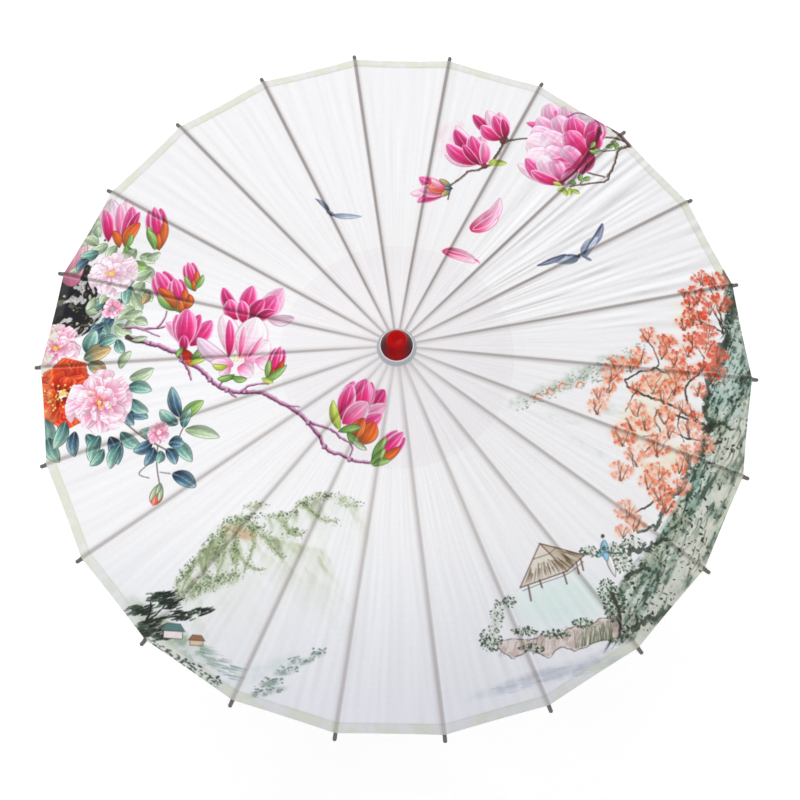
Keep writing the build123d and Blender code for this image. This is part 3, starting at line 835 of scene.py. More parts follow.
def maple_sprigs(art, x, y, radius, seed, pale=0.0, red=0.0):
    """A cluster of small maple leaves, each a fan of thin pointed lobes, over a haze of their colour."""
    haze = np.array((0.97, 0.70, 0.58))
    art.wash(x, y, radius * 1.45, radius * 1.2, haze + (1 - haze) * pale * 0.8, 0.6, 0, 5, seed, 0.75)
    radius = radius * 1.08
    count = max(8, int(radius * radius / 5.5))
    for turn, far, kind in scattered(seed, count):
        angle = 2 * math.pi * turn
        reach = radius * 1.05 * math.sqrt(far)
        cx, cy = x + reach * math.cos(angle), y + 0.85 * reach * math.sin(angle)
        tint = np.array(MAPLE_TINTS[int(kind * 4.99)])
        tint = tint + (MAPLE_PALE - tint) * pale + (MAPLE_RED - tint) * red
        heading = angle * 0.3 - math.pi / 2 + 2.4 * (kind - 0.5)
        size = 4.4 + 3.2 * kind
        for lobe in (-70, -36, -4, 30, 64):
            way = heading + math.radians(lobe)
            long = size * (1.1 - abs(lobe) / 115)
            tip = (cx + long * math.cos(way), cy + long * math.sin(way))
            art.stroke([(cx, cy), tip], 1.25, tint, 0.35, cover=0.84, steps=1)
    for turn, size, fall in scattered(seed + 500, 3):
        way = math.radians(20 + 140 * turn)
        end = (x + radius * math.cos(way), y + 0.8 * radius * math.sin(way))
        start = (x + 0.3 * radius * (fall - 0.5), y - 0.9 * radius)
        middle = ((start[0] + end[0]) / 2 + 2 * (size - 0.5), (start[1] + end[1]) / 2)
        art.stroke([start, middle, end], 1.3, (0.34, 0.22, 0.16), 0.5, cover=0.75, gnarl=1.2)


def paint_far_shore(art):
    """Pale shrubs and tiny roofs in the distance."""
    for x, y, long, wide, angle, cover in (
        (240, 6, 30, 12, 20, 0.5), (210, -12, 34, 12, 20, 0.55), (176, -30, 34, 10, 20, 0.5),
        (140, -48, 28, 9, 25, 0.35), (236, -50, 26, 9, 0, 0.22), (180, -66, 36, 6, -10, 0.15),
        (215, -96, 36, 6, -25, 0.15),
    ):
        art.wash(x, y, long, wide, (0.62, 0.68, 0.60), cover, angle, 5, int(x))
    for turn, size, fall in scattered(41, 260):
        along = turn**0.8
        x, y = 130 + 150 * along, -58 + 78 * along + (size - 0.5) * (10 + 22 * along)
        art.dab(x, y, 0.7 + 0.9 * fall, (0.45, 0.52, 0.45), 0.55, 30, 1.6)
    for x, y in ((170, -35), (184, -27), (204, -24), (156, -42)):
        art.stroke([(x - 5, y - 4), (x - 1, y + 2), (x + 5, y)], 2.0, (0.90, 0.50, 0.34), 1.4, cover=0.85)
        art.stroke([(x - 4, y - 5), (x + 4, y - 3)], 1.6, (0.92, 0.74, 0.62), cover=0.8)


def paint_cliff(art):
    """The grey-green cliff at the right rim."""
    outline = [
        (384, 128), (396, 110), (404, 84), (412, 40), (412, -40), (402, -100), (372, -180), (342, -236),
        (300, -284), (252, -303), (236, -298), (240, -262), (252, -232), (274, -208), (292, -184),
        (310, -156), (330, -112), (346, -72), (348, -30), (362, 2), (376, 40), (380, 80),
    ]
    at, cover = art.inside(outline, 7)
    x, y = art.x[at], art.y[at]
    # Long streaks that follow the slope of the rock
    along, across = x * 0.5 + y * 0.86, y * 0.5 - x * 0.86
    streaks = cloudy(across / 5.5, along / 22, 81, 4)
    patches = cloudy(x / 26, y / 26, 85, 3)
    grain = cloudy(across / 2.2, along / 5, 88, 3)
    color = mixed((0.80, 0.84, 0.79), (0.52, 0.62, 0.55), ramp(streaks, 0.35, 0.6))
    color = mixed(color, (0.58, 0.72, 0.69), 0.7 * ramp(patches, 0.5, 0.62))
    color = mixed(color, (0.74, 0.72, 0.63), 0.5 * ramp(patches, 0.44, 0.34))
    color = mixed(color, (0.34, 0.42, 0.34), 0.75 * ramp(grain, 0.5, 0.68))
    gloom = streaks * 0.4 + grain * 0.35 + patches * 0.25
    color = mixed(color, (0.17, 0.23, 0.18), 0.8 * ramp(gloom, 0.52, 0.62))
    rim_side = ramp(np.hypot(x, y), 356, 388) * ramp(y, -20, -70)
    color = mixed(color, (0.82, 0.82, 0.76), 0.9 * rim_side * (0.35 + 0.65 * ramp(streaks, 0.66, 0.45)))
    face = ramp(np.hypot((x - 382) / 16, (y - 4) / 46), 1.2, 0.5)
    color = mixed(color, (0.72, 0.79, 0.76), 0.7 * face * ramp(grain, 0.62, 0.45))
    art.lay(at, color, cover * (0.8 + 0.2 * ramp(streaks, 0.3, 0.6)))
    # Dark overgrown ledges along the inner edge
    for path, width in (
        ([(384, 130), (392, 102), (386, 72)], 12),
        ([(380, 48), (366, 20), (354, -8), (352, -40), (356, -68)], 9),
        ([(330, -58), (350, -64), (368, -54), (380, -62)], 6),
        ([(352, -62), (344, -88), (330, -104), (320, -128)], 8),
        ([(318, -132), (300, -152), (288, -176), (266, -186)], 6),
        ([(256, -206), (278, -200), (304, -190)], 6), ([(252, -236), (270, -222), (282, -226)], 6),
        ([(262, -286), (288, -272), (312, -262), (332, -242)], 7),
    ):
        art.stroke(path, width, (0.13, 0.17, 0.13), width * 0.5, cover=0.72, ragged=1.4, gnarl=4)
    draws = np.random.default_rng(51).random((900, 4))
    inner = smooth_path(outline[10:], 8)
    outer = smooth_path(outline[:11], 8)
    for place, deep, size, tone in draws:
        a = inner[int(place * (len(inner) - 1))]
        b = outer[int((1 - place) * (len(outer) - 1))]
        x, y = a + (b - a) * (0.02 + 0.96 * deep**1.5) + (size - 0.5) * 6
        tint = (0.12, 0.16, 0.13) if tone < 0.55 else (0.34, 0.42, 0.34)
        art.dab(x, y, 0.9 + 1.7 * size * size, tint, 0.85, 360 * tone, 1.8)
    for place, deep, size, tone in draws[:150]:
        a = inner[int(place * (len(inner) - 1))]
        b = outer[int((1 - place) * (len(outer) - 1))]
        x, y = a + (b - a) * (0.1 + 0.8 * deep)
        long = 6 + 14 * size
        crack = [(x, y), (x - long * 0.15, y - long * 0.5), (x - long * 0.5, y - long)]
        art.stroke(crack, 1.3, (0.20, 0.24, 0.19), 0.5, cover=0.7, steps=3)


def paint_maples(art):
    """Red maples that lean out from the cliff."""
    for x, y, long, wide, cover in (
        (300, -18, 46, 22, 0.5), (274, -62, 44, 28, 0.5), (336, 60, 26, 34, 0.35), (300, -100, 44, 26, 0.4)
    ):
        art.wash(x, y, long, wide, (0.95, 0.88, 0.66), cover, 20, 16, int(y))
    tree = (0.26, 0.21, 0.17)
    for path, width, end in (
        (
            [
                (352, -64), (336, -52), (320, -45), (302, -37), (286, -33), (270, -26), (258, -22),
                (258, -14), (272, -5), (290, 0), (296, 12), (285, 34)
            ],
            3.0, 1.2
        ),
        ([(290, 2), (305, -2), (318, 14)], 1.6, 0.9),
        ([(336, -52), (327, -30), (328, -14), (344, 2), (350, 20), (340, 36)], 2.2, 1.0),
        ([(376, 54), (370, 70), (362, 86), (350, 96)], 2.2, 1.0),
        ([(376, 54), (356, 62), (334, 68)], 1.8, 0.9), ([(376, 60), (372, 76), (362, 112)], 2.0, 1.0),
        ([(352, -76), (326, -76), (308, -70)], 2.2, 1.0),
        ([(352, -66), (300, -46), (290, -56), (295, -74), (274, -79)], 2.0, 0.9),
        ([(366, -76), (346, -86), (330, -96), (318, -122)], 2.4, 1.0),
        ([(312, -134), (286, -150), (262, -165), (248, -169)], 2.2, 1.0),
        ([(320, -45), (316, -62), (322, -80)], 1.6, 0.9), ([(344, 2), (360, 10), (368, 24)], 1.6, 0.9),
        ([(302, -37), (312, -22), (316, -8)], 1.4, 0.9),
        ([(300, -142), (296, -122), (290, -112)], 1.6, 0.8),
        ([(270, -26), (262, -36), (256, -52)], 1.4, 0.8), ([(295, -74), (280, -92), (268, -104)], 1.4, 0.8),
        ([(376, 30), (362, 34), (350, 42)], 1.8, 0.9),
    ):
        art.stroke(path, width * 1.35, tree, end, cover=0.95, ragged=0.9, gnarl=1.8)
    clusters = [
        (352, 120, 11), (370, 118, 13), (345, 98, 13), (330, 98, 6), (374, 92, 12), (360, 82, 9),
        (340, 70, 11), (328, 60, 9), (356, 56, 11), (338, 42, 11), (354, 38, 12), (330, 28, 8),
        (364, 24, 13), (284, 42, 10), (305, 36, 12), (274, 16, 11), (315, 16, 11), (246, 4, 11),
        (240, -10, 11), (262, 4, 9), (314, -2, 13), (330, 2, 10), (360, 4, 12), (288, -14, 15),
        (312, -18, 11), (342, -18, 9), (226, -34, 10), (222, -48, 10), (268, -46, 10), (300, -50, 12),
        (330, -64, 13), (252, -78, 14), (290, -86, 14), (346, -80, 11), (266, -100, 12), (326, -94, 12),
        (248, -118, 12), (290, -118, 14), (315, -130, 11), (294, -140, 13), (254, -162, 12),
        (300, -152, 10), (264, -174, 10), (250, -184, 8), (278, -62, 10), (300, 22, 9), (336, 84, 8),
        (278, -128, 9), (322, -40, 9), (350, 70, 9), (300, -30, 9), (336, -48, 8), (268, -22, 8),
        (236, -24, 8), (316, -108, 9), (306, -70, 9), (346, 10, 8), (262, -64, 8),
    ]
    for step, (x, y, radius) in enumerate(clusters):
        fade = (0.32, 0.0, 0.1, 0.28, 0.0)[step % 5]
        fade = 0.5 if x < 235 or (y < -95 and x < 275) else fade + 0.14 * (y < -30)
        red = 0.55 * min(1, max(0, (x + 0.8 * y - 300) / 80))
        maple_sprigs(art, x, y, radius, 100 + step, fade, red)


# ---------------------------------------------------------------- right: pavilion by the water
def paint_pavilion(art):
    """A thatched pavilion, a passer-by, and the bank of the water."""
    art.wash(184, -262, 74, 34, (0.88, 0.945, 0.92), 0.85, 8, 40, 2, 0.3)
    thatch, straw, wood = (0.89, 0.86, 0.81), (0.38, 0.30, 0.20), (0.42, 0.32, 0.28)
    peak, right, front, left = (158, -202), (207, -212), (188, -230), (137, -249)
    for roof, tint in (((peak, front, left), thatch), ((peak, right, front), (0.80, 0.75, 0.66))):
        at, cover = art.inside([roof[0], roof[0], roof[1], roof[1], roof[2], roof[2]], 1.2)
        art.lay(at, tint, cover)
    for ends, count, seed in (((left, front), 34, 3), ((front, right), 20, 4)):
        for share, size, fall in scattered(seed, count):
            foot = [ends[0][k] + (ends[1][k] - ends[0][k]) * share for k in (0, 1)]
            start, end = 0.5 + 0.3 * size, 0.86 + 0.14 * fall
            top = [peak[k] + (foot[k] - peak[k]) * start for k in (0, 1)]
            low = [peak[k] + (foot[k] - peak[k]) * end for k in (0, 1)]
            art.stroke([top, low], 1.1, straw, 0.6, cover=0.62, steps=1)
    for a, b, share in ((left, front, 0.36), (front, right, 0.36)):
        ends = [[peak[k] + (corner[k] - peak[k]) * share for k in (0, 1)] for corner in (a, b)]
        art.stroke(ends, 1.0, (0.45, 0.40, 0.36), cover=0.8, steps=1)
    for a, b in ((peak, left), (peak, front), (peak, right), (left, front), (front, right)):
        art.stroke([a, b], 1.3, wood, cover=0.9, steps=1)
    for foot in (
        ((146, -247), (149, -262)), ((158, -240), (161, -248)), ((184, -231), (188, -243)),
        ((203, -216), (206, -228)), ((198, -220), (201, -232))
    ):
        art.stroke(foot, 1.9, wood, cover=0.9, steps=1)
    art.stroke([(140, -252), (162, -243), (188, -233), (206, -219)], 0.9, wood, cover=0.7)
    # A small robed passer-by, only a few dabs of the brush
    petals(art, [
        (((0.92, 0.90, 0.89),) * 4 + ((0.45, 0.42, 0.42),), (242, -234), (232, -206), 9, 0),
        (((0.58, 0.78, 0.88),) * 4 + ((0.28, 0.42, 0.52),), (233, -218), (229, -194), 10, 1),
        (((0.62, 0.82, 0.90),) * 4 + ((0.28, 0.42, 0.52),), (230, -200), (221, -214), 6, 1),
    ])
    art.dab(227, -192, 2.1, (0.90, 0.80, 0.72))
    art.dab(227.8, -190.4, 2.0, INK, 0.85)
    # The near bank, its grass and shrubs
    bank = [
        (112, -306), (130, -302), (148, -304), (160, -298), (178, -298), (192, -288), (212, -286),
        (226, -278), (244, -280), (246, -296), (222, -302), (200, -312), (182, -310), (168, -320),
        (148, -314), (132, -322), (116, -314),
    ]
    at, cover = art.inside(bank, 2)
    grain = cloudy(art.x[at] / 6, art.y[at] / 6, 93, 3)
    art.lay(at, mixed((0.90, 0.84, 0.80), (0.80, 0.72, 0.68), ramp(grain, 0.45, 0.65)), cover * 0.9)
    art.stroke([*bank, bank[0]], 0.9, (0.34, 0.30, 0.27), cover=0.8, ragged=0.9, gnarl=1.6)
    for turn, size, fall in scattered(63, 70):
        x = 116 + 128 * turn
        y = -312 + 24 * turn + 14 * (size - 0.5)
        art.stroke(
            [(x, y + 4), (x - 1.5, y), (x - 1 - 3 * fall, y - 4)], 0.8, (0.50, 0.42, 0.38), 0.5, cover=0.55,
            steps=2
        )
    for x, y, wide, high, count in (
        (106, -304, 12, 14, 60), (112, -280, 7, 18, 24), (124, -264, 8, 8, 20), (142, -294, 14, 5, 40),
        (176, -296, 16, 5, 36), (208, -284, 14, 6, 40), (240, -262, 12, 20, 110), (232, -248, 10, 12, 50),
        (214, -208, 12, 6, 36), (240, -204, 12, 8, 40), (250, -216, 10, 14, 50), (150, -312, 14, 5, 30),
        (262, -196, 14, 8, 30),
    ):
        art.wash(x, y, wide, high, (0.66, 0.72, 0.62), 0.5, 0, 4, count)
        for turn, size, fall in scattered(int(x * 3 + count), int(count * 1.7)):
            dx, dy = (turn - 0.5) * 2 * wide, (size - 0.5) * 2 * high * math.sqrt(1 - (2 * turn - 1) ** 2)
            tint = (0.20, 0.26, 0.20) if fall > 0.45 else (0.42, 0.50, 0.38)
            art.dab(x + dx, y + dy, 0.7 + 0.9 * fall, tint, 0.75, 200 * turn, 1.6)
    art.stroke([(238, -252), (246, -272), (246, -296)], 4.5, (0.24, 0.22, 0.18), 3, cover=0.9, ragged=0.7)
    for turn, size, fall in scattered(61, 46):
        x, y = 198 + 40 * turn, -310 + 12 * turn
        reed = [(x, y), (x + 3 * (fall - 0.5), y + 8), (x + 9 * (fall - 0.5), y + 14 + 6 * size)]
        art.stroke(reed, 0.9, (0.34, 0.42, 0.28), 0.5, cover=0.8, steps=2)
    for x, y, long, wide, cover in (
        (250, -312, 66, 12, 0.6), (170, -338, 80, 10, 0.55), (130, -350, 60, 8, 0.4),
        (210, -330, 50, 8, 0.5)
    ):
        art.wash(x, y, long, wide, (0.74, 0.76, 0.80), cover, 18, 12, int(long))
    for turn, size, fall in scattered(62, 26):
        x, y = 92 + 200 * turn, -352 + 52 * turn - 16 * size
        art.stroke(
            [(x, y), (x + 12 + 16 * fall, y + 3 + 4 * fall)], 1.2, (0.70, 0.74, 0.78), 0.5, cover=0.5,
            steps=1
        )


# ---------------------------------------------------------------- lower left: hills and pines
def hillside(art, ridge, fall, reach, tint, cover, seed):
    """A wash that hangs below a ridge line, fading downhill, with brush folds."""
    path = smooth_path(ridge, 6)
    middle = (path.min(0) + path.max(0)) / 2 + np.array(fall) * reach / 2
    at = art.near(*middle, np.ptp(path, axis=0).max() / 2 + reach)
    down = np.array(fall) / math.hypot(*fall)
    aside = np.array((-down[1], down[0]))
    level = path @ aside
    order = np.argsort(level)
    p = np.stack([art.x[at], art.y[at]], -1)
    own = p @ aside
    crest = np.interp(own, level[order], (path @ down)[order])
    below = p @ down - crest
    ends = ramp(own, level.min() - 1, level.min() + 14) * ramp(own, level.max() + 1, level.max() - 14)
    folds = cloudy(own / 9, below / 26, seed, 3)
    strength = ramp(below, -2, 5) * np.exp(-np.maximum(below, 0) / reach * 1.7) * ends
    art.lay(at, tint, cover * strength * (0.35 + 0.65 * ramp(folds, 0.36, 0.6)))
    dark = np.array(tint) * 0.72
    art.lay(at, dark, cover * 0.8 * strength * ramp(folds, 0.56, 0.68) * ramp(below, reach * 0.8, 2))


def paint_hills(art):
    """Two ridges with small trees along their folds."""
    far_ridge = [
        (-152, -172), (-136, -176), (-120, -181), (-108, -170), (-94, -164), (-78, -158), (-58, -160),
        (-26, -172)
    ]
    near_ridge = [
        (-240, -266), (-232, -246), (-216, -226), (-200, -206), (-186, -194), (-174, -184), (-160, -180),
        (-148, -186), (-132, -198), (-104, -206), (-70, -214),
    ]
    hillside(art, far_ridge, (0.35, -0.94), 36, (0.74, 0.78, 0.66), 0.75, 3)
    hillside(art, near_ridge, (0.45, -0.89), 60, (0.70, 0.75, 0.58), 0.9, 13)
    # Folds of the hill, each a run of soft strokes with small trees along it
    folds = (
        [(-196, -200), (-200, -220), (-208, -250)], [(-182, -192), (-182, -214), (-190, -246)],
        [(-168, -188), (-170, -210), (-168, -244)],
        [(-152, -190), (-152, -212), (-160, -236)], [(-214, -226), (-222, -242), (-232, -262)],
        [(-140, -198), (-128, -214), (-118, -224)],
        [(-120, -184), (-108, -196), (-98, -200)], [(-96, -168), (-80, -180), (-60, -186)],
        [(-170, -214), (-156, -230), (-140, -236)],
    )
    for step, path in enumerate(folds):
        art.stroke(path, 8, (0.66, 0.72, 0.52), 2, cover=0.4, ragged=0.9, gnarl=2)
        art.stroke(path, 2.6, (0.42, 0.50, 0.33), 1, cover=0.35, ragged=0.9, gnarl=2)
        line = smooth_path(path, 12)
        for turn, size, fall in scattered(300 + step, 46):
            x, y = line[int(turn * (len(line) - 1))]
            art.dab(
                x + 9 * (size - 0.5), y + 9 * (fall - 0.5), 0.6 + 0.7 * fall, (0.34, 0.42, 0.27), 0.4, 20,
                1.5
            )
    art.wash(-166, -196, 30, 9, (0.78, 0.60, 0.42), 0.6, -12, 5, 2)
    art.wash(-196, -266, 74, 12, (0.93, 0.94, 0.92), 0.8, 24, 20, 4)
    groups = [
        (-166, -182, 20, 5, 130, 0), (-150, -192, 16, 6, 80, -20), (-184, -194, 12, 6, 60, 35),
        (-204, -212, 14, 4, 60, 45), (-226, -240, 18, 5, 90, 50), (-212, -254, 22, 8, 110, 24),
        (-120, -178, 16, 4, 60, 0), (-96, -164, 14, 4, 50, 20), (-76, -158, 18, 4, 60, 0),
        (-108, -196, 14, 4, 40, 10), (-150, -168, 14, 4, 26, 0), (-196, -250, 20, 7, 90, 10),
        (-176, -244, 14, 6, 50, 0), (-190, -214, 6, 14, 50, 0), (-172, -212, 5, 16, 50, 0),
        (-50, -164, 16, 5, 30, -20),
    ]
    for x, y, wide, high, count, angle in groups:
        c, s = math.cos(math.radians(angle)), math.sin(math.radians(angle))
        art.wash(x, y, wide, high * 1.5, (0.62, 0.69, 0.50), 0.45, angle, 4, count)
        for turn, size, fall in scattered(int(count - x), int(count * 1.1)):
            dx, dy = (turn + size - 1) * wide * 1.3, (fall + turn - 1) * high * 1.6
            tint = (0.18, 0.24, 0.16) if size > 0.7 else (0.42, 0.50, 0.33)
            art.dab(x + dx * c - dy * s, y + dx * s + dy * c, 0.55 + 0.65 * fall, tint, 0.6, 20, 1.5)


def paint_pines(art):
    """Pines and two houses at the rim, and reeds in the water."""
    art.wash(-252, -292, 52, 16, (0.66, 0.72, 0.62), 0.9, -38, 8, 6)
    art.wash(-214, -318, 46, 13, (0.60, 0.68, 0.60), 0.8, -36, 7, 7)
    for path in (
        [(-284, -306), (-270, -292), (-256, -282), (-246, -272)],
        [(-268, -292), (-262, -278), (-262, -268)], [(-262, -288), (-240, -284), (-222, -284)]
    ):
        art.stroke(path, 3.2, (0.15, 0.14, 0.11), 1.4, cover=0.95, ragged=0.7)
    for x, y, wide, high, count in (
        (-272, -276, 18, 5, 90), (-250, -262, 18, 5, 100), (-240, -270, 16, 5, 70), (-226, -282, 16, 5, 60),
        (-206, -278, 14, 4, 40), (-262, -296, 18, 9, 120), (-282, -304, 10, 6, 60), (-246, -302, 14, 6, 60),
    ):
        for turn, size, fall in scattered(int(900 - x), count):
            px, py = x + (turn + fall - 1) * wide, y + (size - 0.5) * 2 * high
            tint = (0.11, 0.14, 0.11) if fall > 0.25 else (0.25, 0.34, 0.26)
            art.stroke(
                [(px - 3, py - 1), (px + 3, py + 2 * (fall - 0.3))], 1.5, tint, 0.7, cover=0.85, steps=1
            )
    wall_shape, roof_shape = ((-8, -6), (-8, 0), (8, -1), (8, -7)), ((-10, 0), (-5, 6), (6, 5), (10, -1))
    for house, size, roof, wall in (
        ((-236, -298), 1.3, (0.36, 0.50, 0.50), (0.95, 0.90, 0.88)),
        ((-210, -308), 0.9, (0.62, 0.44, 0.32), (0.90, 0.78, 0.66)),
    ):
        for shape, tint in ((wall_shape, wall), (roof_shape, roof)):
            corners = [(house[0] + size * x, house[1] + size * y) for x, y in shape for _ in (0, 1)]
            at, cover = art.inside(corners, 1.0)
            art.lay(at, tint, cover)
            art.stroke(corners[::2] + corners[:1], 0.8, (0.24, 0.22, 0.20), cover=0.7, steps=1)
    for turn, size, fall in scattered(71, 210):
        x, y = -282 + 100 * turn, -304 - 50 * turn + 14 * (size - 0.5)
        tint = (0.20, 0.26, 0.20) if size > 0.35 else (0.42, 0.54, 0.46)
        art.dab(x, y, 0.8 + 1.5 * fall, tint, 0.8, 330, 1.8)
    for turn, size, fall in scattered(72, 34):
        x, y = -210 + 44 * turn, -318 - 26 * turn + 16 * (size - 0.5)
        art.stroke(
            [(x, y), (x + 10 + 10 * fall, y - 2 - 3 * fall)], 1.2, (0.52, 0.62, 0.58), 0.5, cover=0.65,
            steps=1
        )
    # Reeds and rocks in the water at the near edge
    for x, y, long in (
        (-134, -362, 26), (-112, -340, 16), (-96, -330, 18), (-128, -352, 16), (-78, -322, 10)
    ):
        art.wash(x, y, long, 5, (0.52, 0.60, 0.54), 0.75, 12, 5, int(long))
        for turn, size, fall in scattered(int(long * 3), 22):
            art.dab(
                x + (turn - 0.5) * long * 1.6, y + (size - 0.5) * 7 + 3, 0.8 + fall, (0.36, 0.44, 0.40),
                0.6, 10, 2
            )
    art.wash(-150, -345, 70, 10, (0.86, 0.90, 0.88), 0.7, 24, 12, 8)


# ---------------------------------------------------------------- the whole print, and painted light and shade on the cloth
def paint_rib_shade(art):
    """Painted shade of the ribs seen through the cloth: soft grey lines, darkest towards +Y, with a painted
    highlight beside each.
    """
    radius, angle = np.hypot(art.x, art.y), np.arctan2(art.y, art.x)
    off = (angle + half_sector) % sector - half_sector
    aside = radius * np.sin(off)
    # The painted rib shade is darker on the ribs that point towards +Y
    upward = 0.5 + 0.5 * np.sin(angle)
    core = 1.15 + 0.8 * radius / (rim_radius / MM)
    near_hub = ramp(radius, 10, 90)
    # Painted shade: a broad soft shadow along each rib
    soft = ramp(np.abs(aside + 0.8), core + 3.6, core * 0.4)
    art.rgb *= 1 - np.array([0.085, 0.10, 0.105]) * (soft * (0.5 + 0.5 * near_hub))[:, None]
    # Painted shade: a narrow grey line over each rib
    line = ramp(np.abs(aside), core + 0.7, core - 0.6)
    art.rgb *= 1 - np.array([0.17, 0.18, 0.185]) * (
        line * (0.4 + 1.15 * upward) * (0.6 + 0.4 * near_hub)
    )[:, None]
    # Painted highlight: a light line along one side of each rib
    rib_highlight = np.exp(-(((aside - core - 1.6) / 0.8) ** 2))
    art.rgb += (1 - art.rgb) * (0.25 * rib_highlight)[:, None]


def paint_fold_shading(art):
    """Painted light and shade of the stretch folds that run outwards, strong on the upper right and faint
    elsewhere.
    """
    radius, angle = np.hypot(art.x, art.y), np.arctan2(art.y, art.x)

    def folds(turned):
        drift = 0.5 * noise(radius / 70, turned * 3, 92)
        broad = noise(turned * 30 + drift, radius / 150, 91)
        fine = noise(turned * 95 + 2 * drift, radius / 85, 95)
        return 0.5 * broad + 0.5 * fine

    # Painted light and shade from the folds' slope round the crown: lighter on one side, darker on the other
    fold_light_slope = folds(angle + 0.008) - folds(angle - 0.008)
    strong = ramp(angle, math.radians(6), math.radians(20)) * ramp(angle, math.radians(62), math.radians(48))
    strong *= ramp(radius, 70, 150) * (0.25 + 0.75 * ramp(noise(angle * 9, radius / 80, 97), 0.3, 0.6))
    relief = fold_light_slope * (0.18 + 0.85 * strong) * ramp(radius, 40, 90)
    # Painted highlights, mostly on the bare cloth, then painted shade
    bare = ramp(art.rgb.min(1), 0.6, 0.92)
    art.rgb += (1 - art.rgb) * (np.clip(relief * 4, 0, 0.9) * (0.06 + 0.94 * bare))[:, None]
    art.rgb *= 1 - np.array([0.96, 0.98, 0.98]) * np.clip(-relief * 0.30, 0, 0.12)[:, None]


def paint_edges(art):
    """Painted shade where the lining lies under the cloth and at its round edge near the crown, the pale
    green hem, and painted light and shade across the cloth.
    """
    radius, angle = np.hypot(art.x, art.y), np.arctan2(art.y, art.x)
    lining = lining_radius / MM
    # Painted shade: the cloth is a touch darker where the lining lies under it
    art.rgb *= 1 - np.array([0.004, 0.012, 0.010]) * ramp(radius, lining + 1.2, lining - 1.2)[:, None]
    # Painted shade line at the lining's round edge
    lining_edge_shade = np.exp(-(((radius - lining) / 1.3) ** 2)) * (0.4 + 0.6 * noise(angle * 9, radius * 0, 5))
    art.rgb *= 1 - 0.025 * lining_edge_shade[:, None]
    off = (angle + half_sector) % sector - half_sector
    to_rim = (rim_radius * math.cos(half_sector)) / MM - radius * np.cos(half_sector - np.abs(off))
    blotch = 0.25 + 0.75 * ramp(cloudy(art.x / 14, art.y / 14, 91, 3), 0.38, 0.6)
    bare = ramp(art.rgb.min(1), 0.55, 0.9)
    hem = ramp(to_rim, 12.5, 9.5) * blotch * (0.25 + 0.75 * bare)
    art.rgb += (np.array([0.915, 0.93, 0.84]) - art.rgb) * (0.7 * hem)[:, None]
    stitch = np.exp(-(((to_rim - 10.2) / 0.9) ** 2))
    art.rgb *= 1 - 0.05 * stitch[:, None]
    # Painted light makes the cloth brightest left of the crown, and painted shade makes it a little cooler
    # and greyer towards the near rim
    lit = ramp(art.y, 150, 20) * ramp(art.x, 140, -60)
    art.rgb *= 1 + 0.036 * lit[:, None]
    near_rim_shade = ramp(art.y, -150, -400)
    art.rgb *= 1 - np.array([0.090, 0.085, 0.064]) * near_rim_shade[:, None]


def paint_canopy(x, y):
    """Screen colours of the whole print and the cloth's painted light and shade, at plan points in mm."""
    art = Painting(x, y, (0.955, 0.953, 0.957))
    for paint in (
        paint_far_shore, paint_cliff, paint_maples, paint_pavilion, paint_hills, paint_pines,
        paint_left_cluster,
        paint_spray, paint_branch, paint_middle_magnolias, paint_lower_magnolia, paint_upper_magnolias,
        paint_fold_shading, paint_edges, paint_rib_shade,
    ):
        paint(art)
    return np.clip(art.rgb, 0, 1)


# ---------------------------------------------------------------- materials
def linear(color):
    """A screen colour as the linear one that shaders take."""
    color = np.asarray(color, float)
    return np.where(color <= 0.04045, color / 12.92, ((color + 0.055) / 1.055) ** 2.4)


def rgba(color):
    """A screen colour as a shader socket takes it."""
    return (*linear(color), 1.0)


